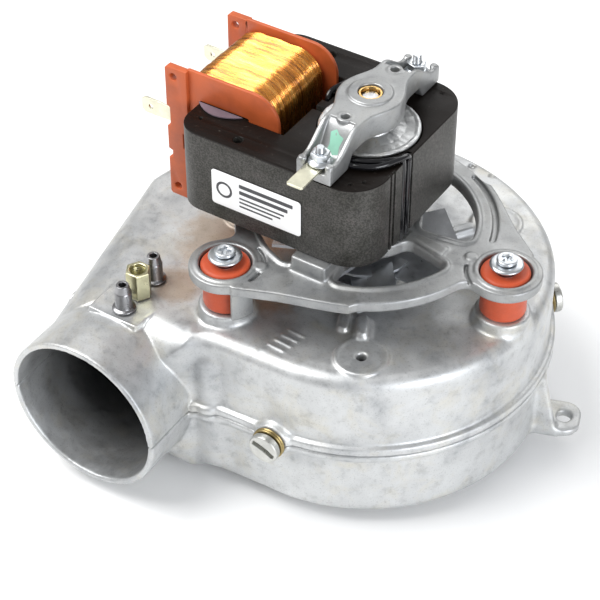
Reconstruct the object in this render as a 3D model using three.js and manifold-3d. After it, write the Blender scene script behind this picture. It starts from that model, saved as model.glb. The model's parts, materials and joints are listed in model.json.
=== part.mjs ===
// Combustion fan: a die-cast volute blower driven by a shaded-pole motor.
// The motor stands on a spider bracket that rests on three rubber grommets.
// Millimetres, +Z up. The rotor turns on the Z axis and the outlet points along -Y.

import * as THREE from 'three';
import { mergeVertices } from 'three/addons/utils/BufferGeometryUtils.js';
import Module from 'manifold-3d';

const wasm = await Module();
wasm.setup();

// ---------------------------------------------------------------- driving dimensions

const GAP = 0.3;                 // clearance kept between neighbouring pieces

const DECK_Z = 67;               // top face of the volute
const BASE_Z = 4;                // underside of the volute
const SPLIT_Z = 35;              // parting plane of the two shells
const WALL = 3;                  // casting thickness
const EDGE_RADIUS = 5;           // rounding of the outer casting edges
const SCROLL_START = -100;       // degrees, where the round wall leaves the tongue
const SCROLL_RADIUS = 61.3;      // smallest outer radius of the volute
const SCROLL_GROWTH = 31.2;      // radius gained by the time the wall reaches the outlet side
const SCROLL_POWER = 1.85;
const SCROLL_STEPS = 28;
const TONGUE_ANGLE = -122;       // where the scroll wall meets the duct inside
const LIP_REACH = 2.2;           // how far the parting lip stands out of the wall
const LIP_HEIGHT = 3.2;

const OUTLET_X = -58.92;         // outlet axis, parallel to Y
const OUTLET_RADIUS = 30;
const OUTLET_BORE = 27.8;
const OUTLET_FACE_Y = -89.6;     // mouth of the outlet tube
const OUTLET_ROOT_Y = -70;       // where the tube meets the casting
const DUCT_STEPS = 5;            // facets in each rounded corner of the duct
const PAD_Z = 65.5;              // machined pad that carries the pressure taps

const INLET_RADIUS = 34;
const INLET_RING = { inner: 39, outer: 46 };
const TAB = { low: 7, high: 10, halfWidth: 7.9, holeRadius: 2.7, holeReach: 9.6, endReach: 15.6 };
const TAB_ANGLES = [18.4, 112];  // tabs on the scroll; the third stands on the duct side
const SIDE_TAB_Y = -28;

const GROMMET_RADIUS = 53.7;     // pitch radius of the three rubber mounts
const GROMMET_ANGLES = [-120, 0, 120];
const BOSS_Z = 71.3;             // seats of the grommets on the deck
const PLATE = { low: 84, high: 88 };
const SPIDER_RING = { inner: 37.5, outer: 45 };
const SPIDER_HUB = 13;
const CUP = { hole: 8.9, outer: 12.4, lip: 5.8, floor: 85.2, filletRadius: 9 };
const WINDOWS = [[-80, -10], [6, 80], [100, 170], [190, 260]];

const STACK = {
  left: -54.9, right: 19.5, half: 34.45, low: 94, high: 125.4, corner: 9, noseCorner: 13,
};
const COIL_LEG_RIGHT = -35.9;    // the leg that carries the coil ends here
const COIL_WINDOW = { right: -21.5, half: 19 };
const BORE_RADIUS = 17.5;
const BOLT_Y = 30.5;             // bridge bolts stand at +-BOLT_Y on the rotor plane

const SHAFT_RADIUS = 3;
const ROTOR_RADIUS = 17.1;
const IMPELLER = { radius: 50, eye: 33, top: 58, bottom: 13, blades: 12 };
const COOLING = { radius: 32, low: 72, high: 78, blades: 7 };

const FAR = 150;                 // further out than any point of the fan
const PLUG_BOSS_REACH = LIP_REACH + 0.6;
const SCREW_PAD_RADIUS = 48.8;   // three screw pads between the grommets
const SCREW_PAD_TURN = 59.5;
const PAD_TOP = DECK_Z + 0.8;
const SEAL_HOLE = 11;            // opening in the deck round the shaft
const TAP_X = -57.6;
const TAP_Y = [-63.6, -54.8, -45.8];

// Clamp screws on the parting line: where each boss stands and which way it faces.
const PLUGS = [
  { angle: -88, place: [2.2, -61.8] },
  { angle: 47, place: [45.2, 48.5] },
  { angle: 180, place: [-88.6, -44] },
];

// ---------------------------------------------------------------- materials

const finish = (color, roughness, metalness) => () => (
  new THREE.MeshStandardMaterial({ color, roughness, metalness })
);
const castAluminium = finish(0xc9c9c6, 0.45, 0.9);
const roughAluminium = finish(0xb5b4b0, 0.7, 0.8);
const sheetAluminium = finish(0xaab4bc, 0.4, 0.9);
const zincSteel = finish(0xd2d6d8, 0.3, 1.0);
const yellowZinc = finish(0xc9bb7c, 0.35, 0.9);
const shaftSteel = finish(0x8c8f92, 0.3, 1.0);
const lamination = finish(0x3c3a38, 0.5, 0.5);
const copper = finish(0xd08a2c, 0.3, 0.9);
const lacquer = finish(0x121214, 0.15, 0.2);
const bobbinPlastic = finish(0xc9633f, 0.55, 0.0);
const rubber = finish(0xd9532a, 0.7, 0.0);
const brass = finish(0xb8963c, 0.35, 1.0);
const tinnedBrass = finish(0xc3c19a, 0.35, 0.9);
const labelPaper = finish(0xf2f2f0, 0.5, 0.0);
const insulationPaper = finish(0x6f6470, 0.6, 0.0);

// ---------------------------------------------------------------- geometry helpers

const rad = THREE.MathUtils.degToRad;
const mix = THREE.MathUtils.lerp;

function polar(radius, degrees) {
  return [radius * Math.cos(rad(degrees)), radius * Math.sin(rad(degrees))];
}

function toSolid(geometry) {
  const bare = geometry.clone();
  bare.deleteAttribute('normal');
  bare.deleteAttribute('uv');
  const merged = mergeVertices(bare, 1e-4);
  const corners = merged.index.array;
  const triangles = [];
  for (let i = 0; i < corners.length; i += 3) {
    const [a, b, c] = [corners[i], corners[i + 1], corners[i + 2]];
    if (a !== b && b !== c && c !== a) triangles.push(a, b, c);
  }
  return new wasm.Manifold(new wasm.Mesh({
    numProp: 3,
    vertProperties: new Float32Array(merged.attributes.position.array),
    triVerts: new Uint32Array(triangles),
  }));
}

function toGeometry(solid) {
  const mesh = solid.getMesh();
  const geometry = new THREE.BufferGeometry();
  geometry.setAttribute('position', new THREE.BufferAttribute(mesh.vertProperties, mesh.numProp));
  geometry.setIndex(new THREE.BufferAttribute(mesh.triVerts, 1));
  geometry.computeVertexNormals();
  return geometry;
}

function join(...geometries) {
  return toGeometry(geometries.map(toSolid).reduce((sum, next) => sum.add(next)));
}

function cut(geometry, ...tools) {
  return toGeometry(tools.map(toSolid).reduce((rest, tool) => rest.subtract(tool), toSolid(geometry)));
}

function common(first, second) {
  return toGeometry(toSolid(first).intersect(toSolid(second)));
}

function at(geometry, x, y, z = 0) {
  return geometry.clone().translate(x, y, z);
}

function turned(geometry, degrees) {
  return geometry.clone().rotateZ(rad(degrees));
}

function box(x0, x1, y0, y1, z0, z1) {
  const geometry = new THREE.BoxGeometry(x1 - x0, y1 - y0, z1 - z0);
  return geometry.translate((x0 + x1) / 2, (y0 + y1) / 2, (z0 + z1) / 2);
}

// A closed [radius, z] profile turned about the Z axis.
function lathe(profile, segments = 32) {
  const points = profile.map(([r, z]) => new THREE.Vector2(r, z));
  if (THREE.ShapeUtils.area(points) < 0) points.reverse();
  points.push(points[0].clone());
  return new THREE.LatheGeometry(points, segments).rotateX(Math.PI / 2);
}

function disc(radius, z0, z1, segments = 32) {
  return lathe([[0, z0], [radius, z0], [radius, z1], [0, z1]], segments);
}

function ring(inner, outer, z0, z1, segments = 32) {
  return lathe([[inner, z0], [outer, z0], [outer, z1], [inner, z1]], segments);
}

function outlineShape(points) {
  return new THREE.Shape(points.map(([x, y]) => new THREE.Vector2(x, y)));
}

function roundedRectangle(x0, x1, y0, y1, radii) {
  const [r00, r10, r11, r01] = Array.isArray(radii) ? radii : [radii, radii, radii, radii];
  const shape = new THREE.Shape();
  shape.moveTo(x0 + r00, y0).lineTo(x1 - r10, y0);
  shape.absarc(x1 - r10, y0 + r10, r10, -Math.PI / 2, 0);
  shape.lineTo(x1, y1 - r11);
  shape.absarc(x1 - r11, y1 - r11, r11, 0, Math.PI / 2);
  shape.lineTo(x0 + r01, y1);
  shape.absarc(x0 + r01, y1 - r01, r01, Math.PI / 2, Math.PI);
  shape.lineTo(x0, y0 + r00);
  shape.absarc(x0 + r00, y0 + r00, r00, Math.PI, Math.PI * 1.5);
  return shape;
}

// A shape drawn in X and Y, standing from z0 to z1.
function standing(shape, z0, z1, curveSegments = 6) {
  const settings = { depth: z1 - z0, bevelEnabled: false, curveSegments };
  return new THREE.ExtrudeGeometry(shape, settings).translate(0, 0, z0);
}

// An upright hexagonal prism, by the radius to its corners.
function hexagon(radius, z0, z1) {
  const corners = [0, 1, 2, 3, 4, 5].map((i) => polar(radius, 60 * i));
  return standing(outlineShape(corners), z0, z1);
}

// A shape drawn in X and Z, running from y0 to y1.
function alongY(shape, y0, y1, curveSegments = 6) {
  return standing(shape, 0, y1 - y0, curveSegments).rotateX(Math.PI / 2).translate(0, y1, 0);
}

// A shape drawn in Y and Z, running from x0 to x1.
function alongX(shape, x0, x1, curveSegments = 6) {
  const turn = new THREE.Matrix4().set(0, 0, 1, 0, 1, 0, 0, 0, 0, 1, 0, 0, 0, 0, 0, 1);
  return standing(shape, x0, x1, curveSegments).applyMatrix4(turn);
}

// Closed rings of equal point count, skinned one to the next and capped at both ends.
function loft(rings) {
  const count = rings[0].length;
  const positions = rings.flat(2);
  const index = [];
  for (let level = 0; level + 1 < rings.length; level += 1) {
    for (let i = 0; i < count; i += 1) {
      const next = (i + 1) % count;
      const [a, b] = [level * count + i, level * count + next];
      index.push(a, b, b + count, a, b + count, a + count);
    }
  }
  for (const [level, flip] of [[0, true], [rings.length - 1, false]]) {
    const flat = THREE.ShapeUtils.triangulateShape(capOutline(rings[level]), []);
    for (const [a, b, c] of flat) {
      const base = level * count;
      index.push(...(flip ? [base + a, base + c, base + b] : [base + a, base + b, base + c]));
    }
  }
  const geometry = new THREE.BufferGeometry();
  geometry.setAttribute('position', new THREE.Float32BufferAttribute(positions, 3));
  geometry.setIndex(index);
  return geometry;
}

// Flattens a ring onto the plane that it lies in, keeping its turning sense.
function capOutline(points) {
  const level = points.every(([, , z]) => Math.abs(z - points[0][2]) < 1e-6);
  return points.map(([x, y, z]) => (level ? new THREE.Vector2(x, y) : new THREE.Vector2(x, z)));
}

// A rod of round section along a path.
function rod(path, radius, steps, sides = 6) {
  const section = new THREE.Shape();
  for (let i = 0; i < sides; i += 1) {
    const [x, y] = polar(radius, (360 * i) / sides);
    if (i === 0) section.moveTo(x, y);
    else section.lineTo(x, y);
  }
  section.closePath();
  return new THREE.ExtrudeGeometry(section, { steps, bevelEnabled: false, extrudePath: path });
}

// ---------------------------------------------------------------- scene

const fan = new THREE.Group();

function add(name, geometry, material) {
  const mesh = new THREE.Mesh(geometry, material());
  mesh.name = name;
  fan.add(mesh);
  return mesh;
}

// ---------------------------------------------------------------- volute casting

function scrollRadius(degrees) {
  const travel = Math.max(0, degrees + 60) / 240;
  return SCROLL_RADIUS + SCROLL_GROWTH * travel ** SCROLL_POWER;
}

function scrollArc(from, to, steps, inset) {
  const points = [];
  for (let i = 0; i <= steps; i += 1) {
    const angle = mix(from, to, i / steps);
    points.push(polar(scrollRadius(angle) - inset, angle));
  }
  return points;
}

// Plan of the round part: the scroll, closed across the outlet duct.
function voluteRing(z, inset) {
  const plan = [
    ...scrollArc(SCROLL_START, 180, SCROLL_STEPS, inset),
    [-62, -18],
    [-36, -50],
    [-27.5, -63 + inset],
    [-20, -61.9 + inset],
  ];
  return plan.map(([x, y]) => [x, y, z]);
}

function voluteBody() {
  const rings = [];
  const steps = 2;
  for (let i = 0; i <= steps; i += 1) {
    const turn = rad((90 * i) / steps);
    const inset = EDGE_RADIUS * (1 - Math.sin(turn));
    rings.push(voluteRing(BASE_Z + EDGE_RADIUS * (1 - Math.cos(turn)), inset));
  }
  for (let i = steps; i >= 0; i -= 1) {
    const turn = rad((90 * i) / steps);
    const inset = EDGE_RADIUS * (1 - Math.sin(turn));
    rings.push(voluteRing(DECK_Z - EDGE_RADIUS * (1 - Math.cos(turn)), inset));
  }
  return loft(rings);
}

// Section of the outlet duct: a rounded rectangle that becomes the round tube.
function ductRing(y, inset) {
  const travel = y / OUTLET_ROOT_Y;
  const late = THREE.MathUtils.clamp((travel - 0.74) / 0.26, 0, 1);
  const full = OUTLET_RADIUS - 0.05;
  const leftRound = mix(EDGE_RADIUS, full, travel) - inset;
  const rightRound = mix(EDGE_RADIUS, full, late * late * (3 - 2 * late)) - inset;
  const left = mix(-scrollRadius(180), OUTLET_X - OUTLET_RADIUS, travel) + inset;
  const right = OUTLET_X + OUTLET_RADIUS - inset;
  const top = mix(DECK_Z, SPLIT_Z + OUTLET_RADIUS, travel) - inset;
  const bottom = mix(BASE_Z, SPLIT_Z - OUTLET_RADIUS, travel) + inset;
  const corners = [
    [right - rightRound, bottom + rightRound, rightRound, -90],
    [right - rightRound, top - rightRound, rightRound, 0],
    [left + leftRound, top - leftRound, leftRound, 90],
    [left + leftRound, bottom + leftRound, leftRound, 180],
  ];
  const points = [];
  for (const [x, z, radius, start] of corners) {
    for (let i = 0; i <= DUCT_STEPS; i += 1) {
      const [dx, dz] = polar(radius, start + (90 * i) / DUCT_STEPS);
      points.push([x + dx, y, z + dz]);
    }
  }
  return points;
}

function ductBody(start, end, inset, endInset) {
  const stations = [0, 0.35, 0.7, 0.8, 0.9, 1];
  return loft(stations.map((part) => (
    ductRing(mix(start, end, part), mix(inset, endInset, part))
  )));
}

function outletCylinder(radius, y0, y1) {
  return at(disc(radius, -y1, -y0, 28).rotateX(Math.PI / 2), OUTLET_X, 0, SPLIT_Z);
}

function partingLip() {
  const reach = -LIP_REACH;
  const plan = [
    ...scrollArc(SCROLL_START, 180, SCROLL_STEPS, reach),
    [-92.4, -40],
    [-90.8, -66],
    [-60, -60],
    [-33, -68.6],
    [-27.4, -68.6],
    [-25.6, -65.4],
    [-20, -64],
  ];
  return standing(outlineShape(plan), SPLIT_Z - LIP_HEIGHT, SPLIT_Z + LIP_HEIGHT);
}

function housingCavity() {
  const scroll = [
    ...scrollArc(TONGUE_ANGLE, 180, SCROLL_STEPS, WALL),
    [-62, -16],
  ];
  const room = standing(outlineShape(scroll), BASE_Z + WALL, DECK_Z - WALL);
  const duct = ductBody(0, OUTLET_ROOT_Y, WALL, OUTLET_RADIUS - OUTLET_BORE);
  return join(room, duct, outletCylinder(OUTLET_BORE, OUTLET_FACE_Y - 1, OUTLET_ROOT_Y + 0.5));
}

// A disc whose axis is the local +X direction.
function radialDisc(radius, x0, x1, segments = 24) {
  return disc(radius, x0, x1, segments).rotateY(Math.PI / 2);
}

function fitPlug(geometry, { angle, place }, reach = 0) {
  const [dx, dy] = polar(reach, angle);
  return at(turned(geometry, angle), place[0] + dx, place[1] + dy, SPLIT_Z);
}

// A mounting tab with its gusset, pointing outwards along the local +X direction.
function tab({ angle, place }) {
  const plan = roundedRectangle(-2.5, TAB.endReach, -TAB.halfWidth, TAB.halfWidth, [0.5, 6, 6, 0.5]);
  const gussetSide = outlineShape([
    [-2, TAB.low], [7, TAB.low], [7, TAB.high], [1.6, SPLIT_Z - 2], [-2, SPLIT_Z - 2],
  ]);
  const plate = standing(plan, TAB.low, TAB.high, 4);
  const gusset = alongY(gussetSide, -TAB.halfWidth, -TAB.halfWidth + 3);
  const hole = at(disc(TAB.holeRadius, 0, 20, 12), TAB.holeReach, 0);
  return at(turned(cut(join(plate, gusset), hole), angle), ...place);
}

const TAB_PLACES = [
  ...TAB_ANGLES.map((angle) => ({ angle, place: polar(scrollRadius(angle), angle) })),
  { angle: 180, place: [-91.2, SIDE_TAB_Y] },
];

const HOUSING = cut(
  join(
    voluteBody(),
    ductBody(0, OUTLET_ROOT_Y, 0, 0),
    outletCylinder(OUTLET_RADIUS, OUTLET_FACE_Y, OUTLET_ROOT_Y + 1),
    partingLip(),
    ring(INLET_RING.inner, INLET_RING.outer, 0, BASE_Z + 1, 28),
    at(disc(3.2, SPLIT_Z, 57, 12), -25.2, -62.6),
    ...PLUGS.map((plug) => fitPlug(radialDisc(6.4, -3, PLUG_BOSS_REACH, 20), plug)),
    ...TAB_PLACES.map(tab),
  ),
  housingCavity(),
  ...PLUGS.map((plug) => fitPlug(radialDisc(2.8, -8, 8, 12), plug)),
  ...PLUGS.map((plug) => fitPlug(radialDisc(6.8, PLUG_BOSS_REACH, 12, 20), plug)),
);

// Upper shell: deck, grommet seats, screw pads and the pad for the pressure taps.
function upperShell() {
  const half = common(HOUSING, box(-FAR, FAR, -FAR, FAR, SPLIT_Z + GAP / 2, FAR));
  const inner = DECK_Z - WALL + 1;
  const seat = lathe([
    [0, inner], [10, inner], [10, DECK_Z], [9.1, DECK_Z + 1.4], [9.1, BOSS_Z], [0, BOSS_Z],
  ], 20);
  const pad = lathe([[0, inner], [9.4, inner], [9.4, DECK_Z], [8.8, PAD_TOP], [0, PAD_TOP]], 18);
  const seatPlaces = GROMMET_ANGLES.map((angle) => polar(GROMMET_RADIUS, angle));
  const padPlaces = GROMMET_ANGLES.map((angle) => polar(SCREW_PAD_RADIUS, angle + SCREW_PAD_TURN));
  const body = join(
    half,
    ...seatPlaces.map((place) => at(seat, ...place)),
    ...padPlaces.map((place) => at(pad, ...place)),
    ring(SEAL_HOLE, SEAL_HOLE + 5, inner, DECK_Z + 0.6, 20),
    box(-68.4, -48.5, -69, -47.5, SPLIT_Z + 28, PAD_Z),
  );
  return cut(
    body,
    disc(SEAL_HOLE, 60, 80, 20),
    ...seatPlaces.map((place) => at(disc(2.2, 65.2, 80, 10), ...place)),
    ...padPlaces.map((place) => at(disc(1.75, 65.2, 80, 8), ...place)),
    ...TAP_Y.map((y) => at(disc(2.3, PAD_Z - 2.4, 80, 10), TAP_X, y)),
  );
}

// Lower shell: inlet eye with its lip.
function lowerShell() {
  const half = common(HOUSING, box(-FAR, FAR, -FAR, FAR, -FAR, SPLIT_Z - GAP / 2));
  const eyeLip = ring(INLET_RADIUS - 0.5, INLET_RADIUS + 2.2, BASE_Z + 0.5, 10.5, 28);
  return cut(join(half, eyeLip), disc(INLET_RADIUS, -5, 20, 28));
}

add('upper_shell', upperShell(), castAluminium);
add('lower_shell', lowerShell(), castAluminium);

// ---------------------------------------------------------------- shell clamp screws

function clampScrew() {
  const head = radialDisc(5.2, 0, 2.4, 18);
  const shank = radialDisc(2.4, -6.4, 0.5, 10);
  const slot = box(1.4, 4, -5.5, 5.5, -0.6, 0.6).rotateX(rad(25));
  return cut(join(head, shank), slot);
}

function clampWasher() {
  const washer = lathe([[2.8, 0], [6, 0], [5.6, 0.9], [6, 1.8], [2.8, 1.8]], 16);
  return washer.rotateY(Math.PI / 2);
}

PLUGS.forEach((plug, i) => {
  const washerReach = PLUG_BOSS_REACH + GAP;
  add(`clamp_washer_${i + 1}`, fitPlug(clampWasher(), plug, washerReach), brass);
  add(`clamp_screw_${i + 1}`, fitPlug(clampScrew(), plug, washerReach + 1.8 + GAP), zincSteel);
});

// ---------------------------------------------------------------- pressure taps

function pressureTap() {
  const base = PAD_Z + GAP;
  return lathe([
    [0, PAD_Z - 2], [2, PAD_Z - 2], [2, base], [4.1, base], [4.1, base + 0.7], [3, base + 1.1],
    [3, base + 7.4], [2.2, base + 10.4], [1.2, base + 10.4], [1.2, base + 4], [0, base + 4],
  ], 14);
}

function hexStandoff() {
  const body = hexagon(4.5, PAD_Z + GAP, PAD_Z + GAP + 11);
  return cut(join(body, disc(2, PAD_Z - 2, PAD_Z + 1, 12)), disc(2.5, PAD_Z + 6, 90, 14));
}

add('pressure_tap_front', at(pressureTap(), TAP_X, TAP_Y[0]), zincSteel);
add('tap_standoff', at(hexStandoff(), TAP_X, TAP_Y[1]), yellowZinc);
add('pressure_tap_rear', at(pressureTap(), TAP_X, TAP_Y[2], GAP), zincSteel);

// ---------------------------------------------------------------- spider bracket and rubber mounts

function windowCut([from, to]) {
  const arcs = 6;
  const points = [];
  for (let i = 0; i <= arcs; i += 1) points.push(polar(SPIDER_RING.inner, mix(from, to, i / arcs)));
  for (let i = arcs; i >= 0; i -= 1) points.push(polar(19, mix(from + 6, to - 6, i / arcs)));
  return standing(outlineShape(points), PLATE.low - 5, PLATE.high + 5);
}

// Plate between the ring and a cup on the +X axis: a straight tangent edge on one side
// and a hollow fillet on the other.
function webShape() {
  const { outer, filletRadius } = CUP;
  const ringEdge = SPIDER_RING.outer;
  const tangent = Math.acos((ringEdge - outer) / GROMMET_RADIUS) / Math.PI * 180;
  const [far, near] = [ringEdge + filletRadius, outer + filletRadius];
  const filletX = (far ** 2 - near ** 2 + GROMMET_RADIUS ** 2) / (2 * GROMMET_RADIUS);
  const filletY = -Math.sqrt(far ** 2 - filletX ** 2);
  const [cupX, cupY] = polar(outer, tangent);
  const shape = new THREE.Shape();
  shape.moveTo(24, 0);
  shape.lineTo(filletX * ringEdge / far - 0.5, filletY * ringEdge / far + 0.2);
  const toRing = Math.atan2(-filletY, -filletX);
  const toCup = Math.atan2(-filletY, GROMMET_RADIUS - filletX);
  shape.absarc(filletX, filletY, filletRadius, toRing, toCup, true);
  shape.lineTo(GROMMET_RADIUS, 0);
  shape.lineTo(GROMMET_RADIUS + cupX, cupY);
  shape.lineTo(...polar(ringEdge, tangent));
  return shape;
}

function spiderBracket() {
  const plate = disc(SPIDER_RING.outer, PLATE.low, PLATE.high, 40);
  const cupOuter = disc(CUP.outer, PLATE.low, PLATE.high, 20);
  const web = standing(webShape(), PLATE.low, PLATE.high, 5);
  const skirtPlan = new THREE.Shape();
  skirtPlan.absarc(0, 0, 12, rad(72), rad(114), false);
  skirtPlan.absarc(0, 0, 9.9, rad(114), rad(72), true);
  const skirt = standing(skirtPlan, 72, PLATE.low + 1, 4);
  const cups = GROMMET_ANGLES.map((angle) => turned(at(join(cupOuter, skirt), GROMMET_RADIUS, 0), angle));
  const webs = GROMMET_ANGLES.map((angle) => turned(web, angle));
  const hub = disc(SPIDER_HUB, 79, PLATE.high, 24);
  const block = box(-6.4, 6.4, -38, -24.5, PLATE.low, STACK.low - GAP);
  const blocks = [block, turned(block, 180)];
  const body = join(plate, ...cups, ...webs, hub, ...blocks);
  const cupBores = GROMMET_ANGLES.flatMap((angle) => [
    at(disc(CUP.hole, CUP.floor, 99, 18), ...polar(GROMMET_RADIUS, angle)),
    at(disc(CUP.lip, 60, 99, 14), ...polar(GROMMET_RADIUS, angle)),
  ]);
  const boltHoles = [-BOLT_Y, BOLT_Y].map((y) => at(disc(2.3, 60, 99, 12), 0, y));
  const coilRoom = box(-64, -22.6, -19.3, 19.3, 78, 99);
  return cut(
    body,
    coilRoom,
    ...WINDOWS.map(windowCut),
    ...cupBores,
    ...boltHoles,
    disc(6, 80.2, 99, 18),
    disc(3.6, 60, 99, 16),
  );
}

add('spider_bracket', spiderBracket(), castAluminium);

const grommetProfile = [
  [3.7, BOSS_Z + GAP], [7.9, BOSS_Z + GAP], [7.9, PLATE.low - GAP], [5.5, PLATE.low - GAP],
  [5.5, CUP.floor + GAP], [8.2, CUP.floor + GAP], [8.2, 87.6], [7.6, 88.2], [3.7, 88.2],
];
const SLEEVE_TOP = 90.2;
const screwProfile = [
  [0, 66], [1.8, 66], [1.8, SLEEVE_TOP + 1.8], [3.6, SLEEVE_TOP + 1.8],
  [3.4, SLEEVE_TOP + 3], [2.2, SLEEVE_TOP + 3.7], [0, SLEEVE_TOP + 3.8],
];

GROMMET_ANGLES.forEach((angle, i) => {
  const place = polar(GROMMET_RADIUS, angle);
  const washerLow = SLEEVE_TOP + GAP;
  const washer = [
    [2.3, washerLow], [5.3, washerLow], [5.5, washerLow + 0.5], [5, washerLow + 1.2],
    [2.3, washerLow + 1.2],
  ];
  add(`grommet_${i + 1}`, at(lathe(grommetProfile, 20), ...place), rubber);
  add(`grommet_sleeve_${i + 1}`, at(ring(2.4, 3.4, BOSS_Z + GAP, SLEEVE_TOP, 12), ...place), zincSteel);
  add(`grommet_washer_${i + 1}`, at(lathe(washer, 16), ...place), zincSteel);
  add(`grommet_screw_${i + 1}`, at(lathe(screwProfile, 12), ...place), zincSteel);
});

// ---------------------------------------------------------------- stator

const LEG_CENTRE_X = (STACK.left + COIL_LEG_RIGHT) / 2;
const STACK_MID_Z = (STACK.low + STACK.high) / 2;

function shadingSlots() {
  const slot = box(17, 22, -12.6, -5.4, STACK.low - 1, STACK.high + 1);
  const pair = at(turned(slot, 180), -1.6, 0);
  const crease = box(18.6, 22, -18.9, -17.2, STACK.low - 1, STACK.high + 1);
  return [slot, pair, crease];
}

function statorStack() {
  const { left, right, half, low, high, corner, noseCorner } = STACK;
  const outline = roundedRectangle(left, right, -half, half, [corner, noseCorner, noseCorner, corner]);
  const window = box(COIL_LEG_RIGHT, COIL_WINDOW.right, -COIL_WINDOW.half, COIL_WINDOW.half, low - 1, high + 1);
  const neck = box(COIL_WINDOW.right - 1, -15, -1.2, 1.2, low - 1, high + 1);
  const bolts = [-BOLT_Y, BOLT_Y].map((y) => at(disc(2.3, low - 1, high + 1, 12), 0, y));
  const spare = [-29.2, 29.2].map((y) => at(disc(1.7, low - 1, high + 1, 10), -32.5, y));
  return cut(
    standing(outline, low, high, 6),
    window,
    neck,
    disc(BORE_RADIUS, low - 1, high + 1, 32),
    ...shadingSlots(),
    ...bolts,
    ...spare,
  );
}

add('stator_stack', statorStack(), lamination);

// ---------------------------------------------------------------- coil and bobbin

const FLANGE = { outer: 18.6, inner: 17.2, left: -59, right: -23.4, low: 82.6, high: 136.8 };
const TERMINAL_PLATE = { left: -68.2, right: -59.4, low: 82.6, high: 136.2, outer: 20, inner: 17.2 };

// A square tube round the coil leg, running along Y.
function legTube(grow, wall, y0, y1) {
  const { left, low, high } = STACK;
  const outside = roundedRectangle(
    left - grow - wall, COIL_LEG_RIGHT + grow + wall, low - grow - wall, high + grow + wall, 2.4,
  );
  const inside = box(left - grow, COIL_LEG_RIGHT + grow, y0 - 1, y1 + 1, low - grow, high + grow);
  return cut(alongY(outside, y0, y1, 3), inside);
}

function bobbinEnd(side) {
  const span = (near, far) => (side > 0 ? [near, far] : [-far, -near]);
  const flange = alongY(
    roundedRectangle(FLANGE.left - 2, FLANGE.right, FLANGE.low, FLANGE.high, [2, 10, 10, 2]),
    ...span(FLANGE.inner, FLANGE.outer),
    5,
  );
  const { left, right, low, high, outer, inner } = TERMINAL_PLATE;
  const plate = alongY(roundedRectangle(left, right, low, high, 1.2), ...span(inner, outer), 1);
  const holes = [86.8, 132.6].map((z) => (
    at(disc(1.4, -30, 30, 8).rotateX(Math.PI / 2), -64.8, 0, z)
  ));
  const notch = box(-63.6, -58, ...span(outer - 1.2, outer + 1), 104, 110);
  const edgeNotch = box(left - 1, left + 1.6, ...span(inner - 1, outer + 1), 98, 102);
  return cut(join(flange, plate), ...holes, notch, edgeNotch);
}

function bobbin() {
  const tube = legTube(GAP, 1.2, -FLANGE.outer, FLANGE.outer);
  const opening = box(
    STACK.left - GAP, COIL_LEG_RIGHT + GAP, -30, 30, STACK.low - GAP, STACK.high + GAP,
  );
  const slots = [-1, 1].map((side) => {
    const y = side * (TERMINAL_PLATE.inner + TERMINAL_PLATE.outer) / 2;
    return box(-80, -66.4, y - 0.75, y + 0.75, 112, 119.4);
  });
  return cut(join(tube, bobbinEnd(1), bobbinEnd(-1)), opening, ...slots);
}

function coil() {
  const reach = 18;
  const rise = (STACK.high - STACK.low) / 2 + 9.8;
  const outside = roundedRectangle(
    LEG_CENTRE_X - reach, LEG_CENTRE_X + reach, STACK_MID_Z - rise, STACK_MID_Z + rise, 11,
  );
  const half = FLANGE.inner - GAP;
  const hollow = legTube(0, 1.2 + 2 * GAP, -half - 1, half + 1);
  const core = box(
    STACK.left - 1, COIL_LEG_RIGHT + 1, -half - 1, half + 1, STACK.low - 1, STACK.high + 1,
  );
  return cut(alongY(outside, -half, half, 6), join(hollow, core));
}

function spadeTerminal(side) {
  const y = side * (TERMINAL_PLATE.inner + TERMINAL_PLATE.outer) / 2;
  const blade = new THREE.Shape();
  blade.moveTo(-66.8, 113).lineTo(-66.8, 118.8).lineTo(-70, 118.8).lineTo(-71.4, 119.1);
  blade.lineTo(-78, 119.1).lineTo(-79.4, 118).lineTo(-79.4, 114).lineTo(-78, 112.8);
  blade.lineTo(-71.4, 112.8).lineTo(-70, 113).lineTo(-66.8, 113);
  const hole = at(disc(0.8, -30, 30, 10).rotateX(Math.PI / 2), -75.6, 0, 115.9);
  return cut(alongY(blade, y - 0.4, y + 0.4), hole);
}

// Crescent of lining paper that lies on the iron in front of the flange.
function coilLiner() {
  const crescent = new THREE.Shape();
  crescent.moveTo(-55, -19.2);
  crescent.quadraticCurveTo(-47, -27, -37.5, -19.2);
  crescent.closePath();
  return standing(crescent, STACK.high + GAP, STACK.high + GAP + 0.4, 8);
}

add('bobbin', bobbin(), bobbinPlastic);
add('coil', coil(), copper);
add('coil_liner', coilLiner(), insulationPaper);
add('spade_terminal_front', spadeTerminal(-1), tinnedBrass);
add('spade_terminal_rear', spadeTerminal(1), tinnedBrass);

// ---------------------------------------------------------------- shading rings and label

function shadingRing() {
  const path = new THREE.CatmullRomCurve3([
    [1.5, -20.2, 126.9], [6, -19.6, 126.9], [11, -17.6, 126.9], [15.4, -14.4, 126.9],
    [18.2, -11, 126.7], [18.8, -9.3, 125], [18.9, -9, 121], [18.9, -9, 108], [18.9, -9, 93],
  ].map((point) => new THREE.Vector3(...point)), false, 'centripetal');
  return rod(path, 1.15, 16);
}

add('shading_ring_front', shadingRing(), lacquer);
add('shading_ring_rear', at(turned(shadingRing(), 180), -1.6, 0), lacquer);

const labelPlan = roundedRectangle(-39.6, -4.6, 100.6, 114.6, 1.2);
const labelFace = -STACK.half - GAP;
add('label', alongY(labelPlan, labelFace - 0.3, labelFace, 3), labelPaper);

// ---------------------------------------------------------------- upper bearing bridge

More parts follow.
